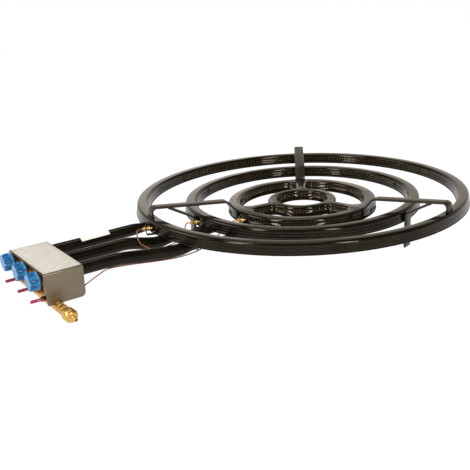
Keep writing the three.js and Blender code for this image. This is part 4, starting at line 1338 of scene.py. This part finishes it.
for index, x in enumerate(TAP_PLACES, 1):
    below = (x, 0, SAFETY_HEIGHT)
    nut = prism(hexagon(5, 30), GLAND_FRONT, VALVE_FRONT - SEAT, "y", below, 0.5)
    neck = turned(capped([(GLAND_FRONT, 3.8), (GLAND_FRONT + 1.0, 4.0)]), "y", below, 32, 0)
    put(f"rod_gland_{index}", joined(nut, neck), copper, f"button_gland_{index}")
    rod = turned(ROD_STEPS, "y", below, 32, 0.15)
    put(f"safety_rod_{index}", rod, rod_red, f"push_button_{index}", f"button_{index}")
print("push rods made")

# %% [markdown]
# Gas comes in at the right: a rail under the valves, a fitting with three bands, a domed union nut
# and a hose nozzle, all turned from brass bar. The nut is a hexagon cut by a turned dome, which
# leaves the curved edges that a lathe gives a hexagon.

# %% Gas supply
RAIL_LEFT, RAIL_RIGHT = -88, 83
BAND = 5
GROOVE = 9
NUT_RADIUS = 12.8
NUT_LENGTH = 17
NUT_CROWN = 13
NUT_FACE = 5
ON_RAIL = (0, RAIL_Y, RAIL_HEIGHT)


def on_rail(name, stands_for, steps, edge, *more):
    mesh = turned(steps, "x", ON_RAIL, edge=edge)
    put(name, joined(*more, mesh) if more else mesh, brass, stands_for)


rail_wall = [
    (RAIL_LEFT, RAIL_BORE), (RAIL_LEFT, RAIL_RADIUS), (RAIL_RIGHT, RAIL_RADIUS),
    (RAIL_RIGHT, RAIL_BORE), (RAIL_LEFT, RAIL_BORE),
]
on_rail("supply_rail", "gas_rail", rail_wall, 0.5)
plug_head = prism(hexagon(9), RAIL_LEFT - 6.3, RAIL_LEFT - 0.3, "x", ON_RAIL, 0.6)
plug_steps = capped([(RAIL_LEFT - 3, 5.7), (RAIL_LEFT + 7.7, 5.7)])
on_rail("end_plug", "rail_plug", plug_steps, 0.3, plug_head)
bands = []
for step in range(3):
    near = RAIL_RIGHT + SEAT + (BAND + GROOVE) * step
    if step:
        bands += [(near - GROOVE, 7.5), (near, 7.5)]
    bands += [(near, 9), (near + BAND, 9)]
fitting_end = near + BAND
fitting_steps = capped([*bands, (fitting_end, 6), (fitting_end + 6, 6)])
on_rail("banded_fitting", "inlet_fitting", fitting_steps, 0.5)
nut_start = fitting_end + SEAT
nut_end = nut_start + NUT_LENGTH
dome = [(nut_start, 0), (nut_start, NUT_RADIUS - 2), (nut_start + 2, NUT_RADIUS)]
for step in range(9):
    angle = math.pi / 2 * step / 8
    radius = NUT_FACE + (NUT_RADIUS - NUT_FACE) * math.cos(angle)
    dome.append((nut_end - NUT_CROWN * (1 - math.sin(angle)), radius))
dome.append((nut_end, 0))
blank = prism(hexagon(NUT_RADIUS, 12), nut_start, nut_end, "x", ON_RAIL, 0)
nut = boolean(blank, turned(dome, "x", ON_RAIL, edge=0), "INTERSECT")
put("domed_nut", rounded(nut, 0.35, 35), brass, "union_nut")
tip = nut_end + 13
flange = fitting_end + 6.3
nozzle_steps = [(flange, 0), (flange, 5), (flange + 2, 5), (flange + 2, 3.5)]
nozzle_steps += [(tip - along, radius) for along, radius in (
    (7, 3.5), (6.4, 3.1), (4, 3.5), (3.4, 3.1), (0.5, 3.5), (0, 3.2), (0, 1.9), (9, 1.6), (9, 0),
)]
on_rail("barbed_nozzle", "hose_nozzle", nozzle_steps, 0.15)
# A dark plug just inside the nozzle's tip is painted shade for its bore.
bore_shade = turned(capped([(tip - 2.5, 1.85), (tip - 0.4, 1.85)]), "x", ON_RAIL, edge=0)
put("nozzle_bore_shade", bore_shade, painted_hole_shade)
print("gas supply ends at x", round(tip, 1))

# %% [markdown]
# A thermocouple looks into the flames of each ring: a brass head with a hexagon nut, held in the
# hole of a small folded clip that reaches under the ring. Head and clip are drawn with the tip at
# the origin, then turned and moved to their place.

# %% Thermocouples
PROBE_TURN = -21
PROBE_LIFT = 11
PROBE_GAP = 1.2
PROBE_LENGTH = 20
CLIP_PLACE = 12.5
CLIP_DROP = PROBE_LIFT + SEAT + 0.6
PROBES = ((-20, outer), (-14, middle), (13, inner))


def probe_mesh():
    head = turned(capped([
        (-PROBE_LENGTH, 2.2), (-17, 2.2), (-17, 3.4), (-8.5, 3.4), (-8, 3.0), (-5.5, 3.0), (-5.5, 1.8),
        (-0.4, 1.8), (0, 1.4),
    ]), facets=32, edge=0.2)
    nut = prism(hexagon(4.6), -8, -5.5, "y")
    collar = turned(capped([(-16.5, 3.9), (-14.8, 3.9)]), facets=32, edge=0.3)
    return joined(head, nut, collar)


def clip_mesh():
    line = [(-CLIP_PLACE, 6.5), (-CLIP_PLACE, -CLIP_DROP), (6, -CLIP_DROP)]
    strip = prism(bent_outline(line, 2, 1.2, 5), -5, 5, "x", edge=0)
    window = box_mesh((-2, -CLIP_PLACE - 3, 3.5 - CLIP_DROP), (2, -CLIP_PLACE + 3, -5.2), 0)
    drill = turned(capped([(-CLIP_PLACE - 3, 3.7), (-CLIP_PLACE + 3, 3.7)]), facets=32, edge=0)
    return rounded(boolean(boolean(strip, window), drill), 0.2, 50)


probe_frames = []
for index, (x, ring) in enumerate(PROBES, 1):
    place = Vector((x, edge_at(ring.radius, x) - PROBE_GAP, ring.bottom + PROBE_LIFT))
    placing = Matrix.Translation(place) @ Matrix.Rotation(math.radians(PROBE_TURN), 4, "Z")
    probe_frames.append(placing)
    head, clip = probe_mesh(), clip_mesh()
    head.transform(placing)
    put(f"probe_head_{index}", head, brass, f"thermocouple_{index}")
    clip.transform(placing)
    put(f"probe_clip_{index}", clip, bar_enamel, f"thermocouple_bracket_{index}")
print("probes", len(probe_frames))

# %% [markdown]
# Thin copper leads run from the magnet housings to the probes. They are stiff tube bent by hand, so
# a smooth curve through chosen points is right. It is a centripetal curve, the kind that doesn't
# overshoot at sharp turns.

# %% Routes of the leads
LEAD_ROUTES = (
    [(-52, -508, 25), (-30, -478, 27), (-6, -445, 33), (12, -418, 38), (25, -398, 41),
     (34, -386, 46), (37, -385, 52), (32, -393, 59), (25, -400, 65), (15, -400, 71), (3, -395, 74.5),
     (-10, -389, 74), (-22, -382, 73.5)],
    [(2, -525, 31), (3, -500, 40), (3, -470, 48.5), (3, -430, 49), (3, -400, 43.5), (2, -372, 38),
     (0, -345, 36.5), (-5, -320, 36.5), (-14, -299, 37), (-20, -287, 42), (-22.5, -280.5, 51),
     (-24, -277, 60)],
    [(63, -525, 35.5), (65, -505, 45), (66.3, -489, 51.6), (66.8, -462, 50.6), (67.9, -435, 47.8),
     (69.4, -405, 43.9), (70.6, -378, 40.9), (70, -350, 38.4), (66, -325, 37), (58, -297, 36.5),
     (46, -272, 37.5), (33, -248, 41), (21, -215, 48), (9, -194, 53)],
)


def smooth_path(points, steps=10):
    points = [Vector(point) for point in points]
    points = [2 * points[0] - points[1], *points, 2 * points[-1] - points[-2]]
    path = []
    for a, b, c, d in zip(points, points[1:], points[2:], points[3:]):
        knots = [0]
        for first, second in ((a, b), (b, c), (c, d)):
            knots.append(knots[-1] + max((second - first).length, 1e-6) ** 0.5)
        t0, t1, t2, t3 = knots
        for step in range(steps):
            t = t1 + (t2 - t1) * step / steps

            def between(first, second, start, end):
                return first * (end - t) / (end - start) + second * (t - start) / (end - start)

            near, mid, far = between(a, b, t0, t1), between(b, c, t1, t2), between(c, d, t2, t3)
            path.append(between(between(near, mid, t0, t2), between(mid, far, t1, t3), t1, t2))
    path.append(points[-2])
    return path


print("route points", [len(route) for route in LEAD_ROUTES])

# %% [markdown]
# A tree sweeps a small circle along each route. The ends run straight out of the magnet's nut and
# straight into the probe, where a real lead is clamped and can't bend.

# %% Copper leads
lead_sweep, given = new_tree("lead_sweep", Radius="Float", Finish="Material")
wire = circle_curve(lead_sweep, given["Radius"], 14)
lead_skin = swept(lead_sweep, drawn_curve(lead_sweep, given), wire, **{"Fill Caps": True})
close_tree(lead_sweep, lead_skin, given["Finish"])

for index, (x, placing, route) in enumerate(zip(TAP_PLACES, probe_frames, LEAD_ROUTES), 1):
    stub = [(x, MAGNET_BACK + SEAT + out, SAFETY_HEIGHT) for out in (0, 2.5, 5)]
    tail = [placing @ Vector((0, -PROBE_LENGTH - SEAT - out, 0)) for out in (5, 2.5, 0)]
    path = line_mesh(smooth_path([*stub, *route, *tail]))
    lead = run_tree(lead_sweep, path, Radius=1.1, Finish=copper)
    put(f"copper_lead_{index}", lead, None, f"capillary_{index}")
print("leads made")

# %% [markdown]
# The stage is a plain pale floor. The photograph's background is pure white, so the floor glows
# white to the camera and in gloss and glass, by a Light Path mask. Light that bounces doesn't meet
# that glow, so it adds none to the burner, and the floor keeps a soft shadow.

# %% Floor
WHITE = (1, 1, 1)
FLOOR_SIZE = 6.0
FLOOR_GLOW = 0.86
floor_mesh = bpy.data.meshes.new("floor")
corners = ((-1, -1), (1, -1), (1, 1), (-1, 1))
places = [(FLOOR_SIZE * x, FLOOR_SIZE * y, -0.0002) for x, y in corners]
floor_mesh.from_pydata(places, [], [(0, 1, 2, 3)])
linked("floor", floor_mesh)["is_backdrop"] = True


def seen_as_background(tree):
    """One for rays from the camera, off gloss or through glass, and zero for light that bounces."""
    rays = node(tree, "ShaderNodeLightPath", out=None)
    share = maths(tree, "MAXIMUM", rays["Is Camera Ray"], rays["Is Glossy Ray"])
    return maths(tree, "MAXIMUM", share, rays["Is Transmission Ray"])


constants = {"Base_Color": (0.86, 0.86, 0.86), "Roughness": 0.9, "Specular_IOR_Level": 0.0}
material, tree, shader = finish("floor_paint", **constants)
glow = node(tree, "ShaderNodeEmission", {"Color": WHITE, "Strength": 1.12})
share = maths(tree, "MULTIPLY", seen_as_background(tree), FLOOR_GLOW)
mixed = node(tree, "ShaderNodeMixShader", {0: share, 1: shader.outputs[0], 2: glow})
tree.links.new(mixed, tree.nodes["Material Output"].inputs["Surface"])
floor_mesh.materials.append(material)
print("floor", 2 * FLOOR_SIZE, "m wide")

# %% [markdown]
# The world is white to the camera. In reflections it is white near the horizon, slightly warm, and
# dims to a dark ceiling overhead, as in a real studio: without it black enamel would turn grey.
# Light that bounces meets an even fill instead.

# %% World
CEILING_GLOW = 0.12
world = bpy.data.worlds.new("studio")
world.use_nodes = True
tree = world.node_tree
tree.nodes.clear()
direction = node(tree, "ShaderNodeTexCoord", out="Generated")
up = node(tree, "ShaderNodeSeparateXYZ", {"Vector": direction}, "Z")
ceiling = ramp(tree, up, 0.12, 0.62, 1.0, CEILING_GLOW)
to_camera = node(tree, "ShaderNodeLightPath", out="Is Camera Ray")
tone = mix_colour(tree, to_camera, (1.0, 0.90, 0.74), WHITE)
bright = maths(tree, "MAXIMUM", to_camera, ceiling)
white = node(tree, "ShaderNodeBackground", {"Color": tone, "Strength": bright})
even = node(tree, "ShaderNodeBackground", {"Color": WHITE, "Strength": 0.40})
sky = node(tree, "ShaderNodeMixShader", {0: seen_as_background(tree), 1: even, 2: white})
node(tree, "ShaderNodeOutputWorld", {"Surface": sky})
bpy.context.scene.world = world
bpy.context.scene.view_settings.view_transform = "Standard"
print("world", len(tree.nodes), "nodes")

# %% [markdown]
# The lamps are soft boxes: large, even lights whose reflections draw the streaks on the rings. The
# long one overhead lights the shoulders, two upright ones in front light the walls, a broad one
# stands at the left, and faint ones behind brighten the far rings. Left and right are the camera's,
# and the camera itself doesn't see them.

# %% Lamps
MIDDLE = (0, 0, 0.08)
LAMPS = {  # its place, what it looks at, its width and height, and its power
    "top_box": ((-0.8, -0.3, 3.0), (0, -0.3, 0), (3.0, 0.3), 27),
    "back_left_box": ((-2.95, 1.35, 0.94), MIDDLE, (1.2, 0.62), 1.5),
    "back_right_box": ((-1.82, 2.68, 0.94), MIDDLE, (1.2, 0.62), 0.5),
    "left_box": ((-1.6, -1.9, 1.9), (0, -0.1, 0), (1.6, 1.2), 24),
    "front_right_box": ((2.43, -0.32, 1.5), MIDDLE, (0.5, 1.8), 38),
    "front_left_box": ((0.36, -2.42, 1.5), MIDDLE, (0.5, 1.8), 38),
}
for name, (place, target, size, power) in LAMPS.items():
    data = bpy.data.lights.new(name, "AREA")
    data.shape, data.energy = "RECTANGLE", power
    data.size, data.size_y = size
    lamp = linked(name, data)
    lamp.location = place
    lamp.rotation_mode = "QUATERNION"
    lamp.rotation_quaternion = (Vector(target) - Vector(place)).to_track_quat("-Z", "Y")
    lamp.visible_camera = False
print("lamps", len(LAMPS))

# %% [markdown]
# Dressing the burner must not change its size. The last cell measures the dressed burner and sets
# its box beside the CAD part's.

# %% Sizes and finish
dressed_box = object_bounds()
sizes = {
    "cad": [list(corner) for corner in cad_box],
    "visual": [list(corner) for corner in dressed_box],
}
print("dressed box", [tuple(round(value, 4) for value in corner) for corner in dressed_box])
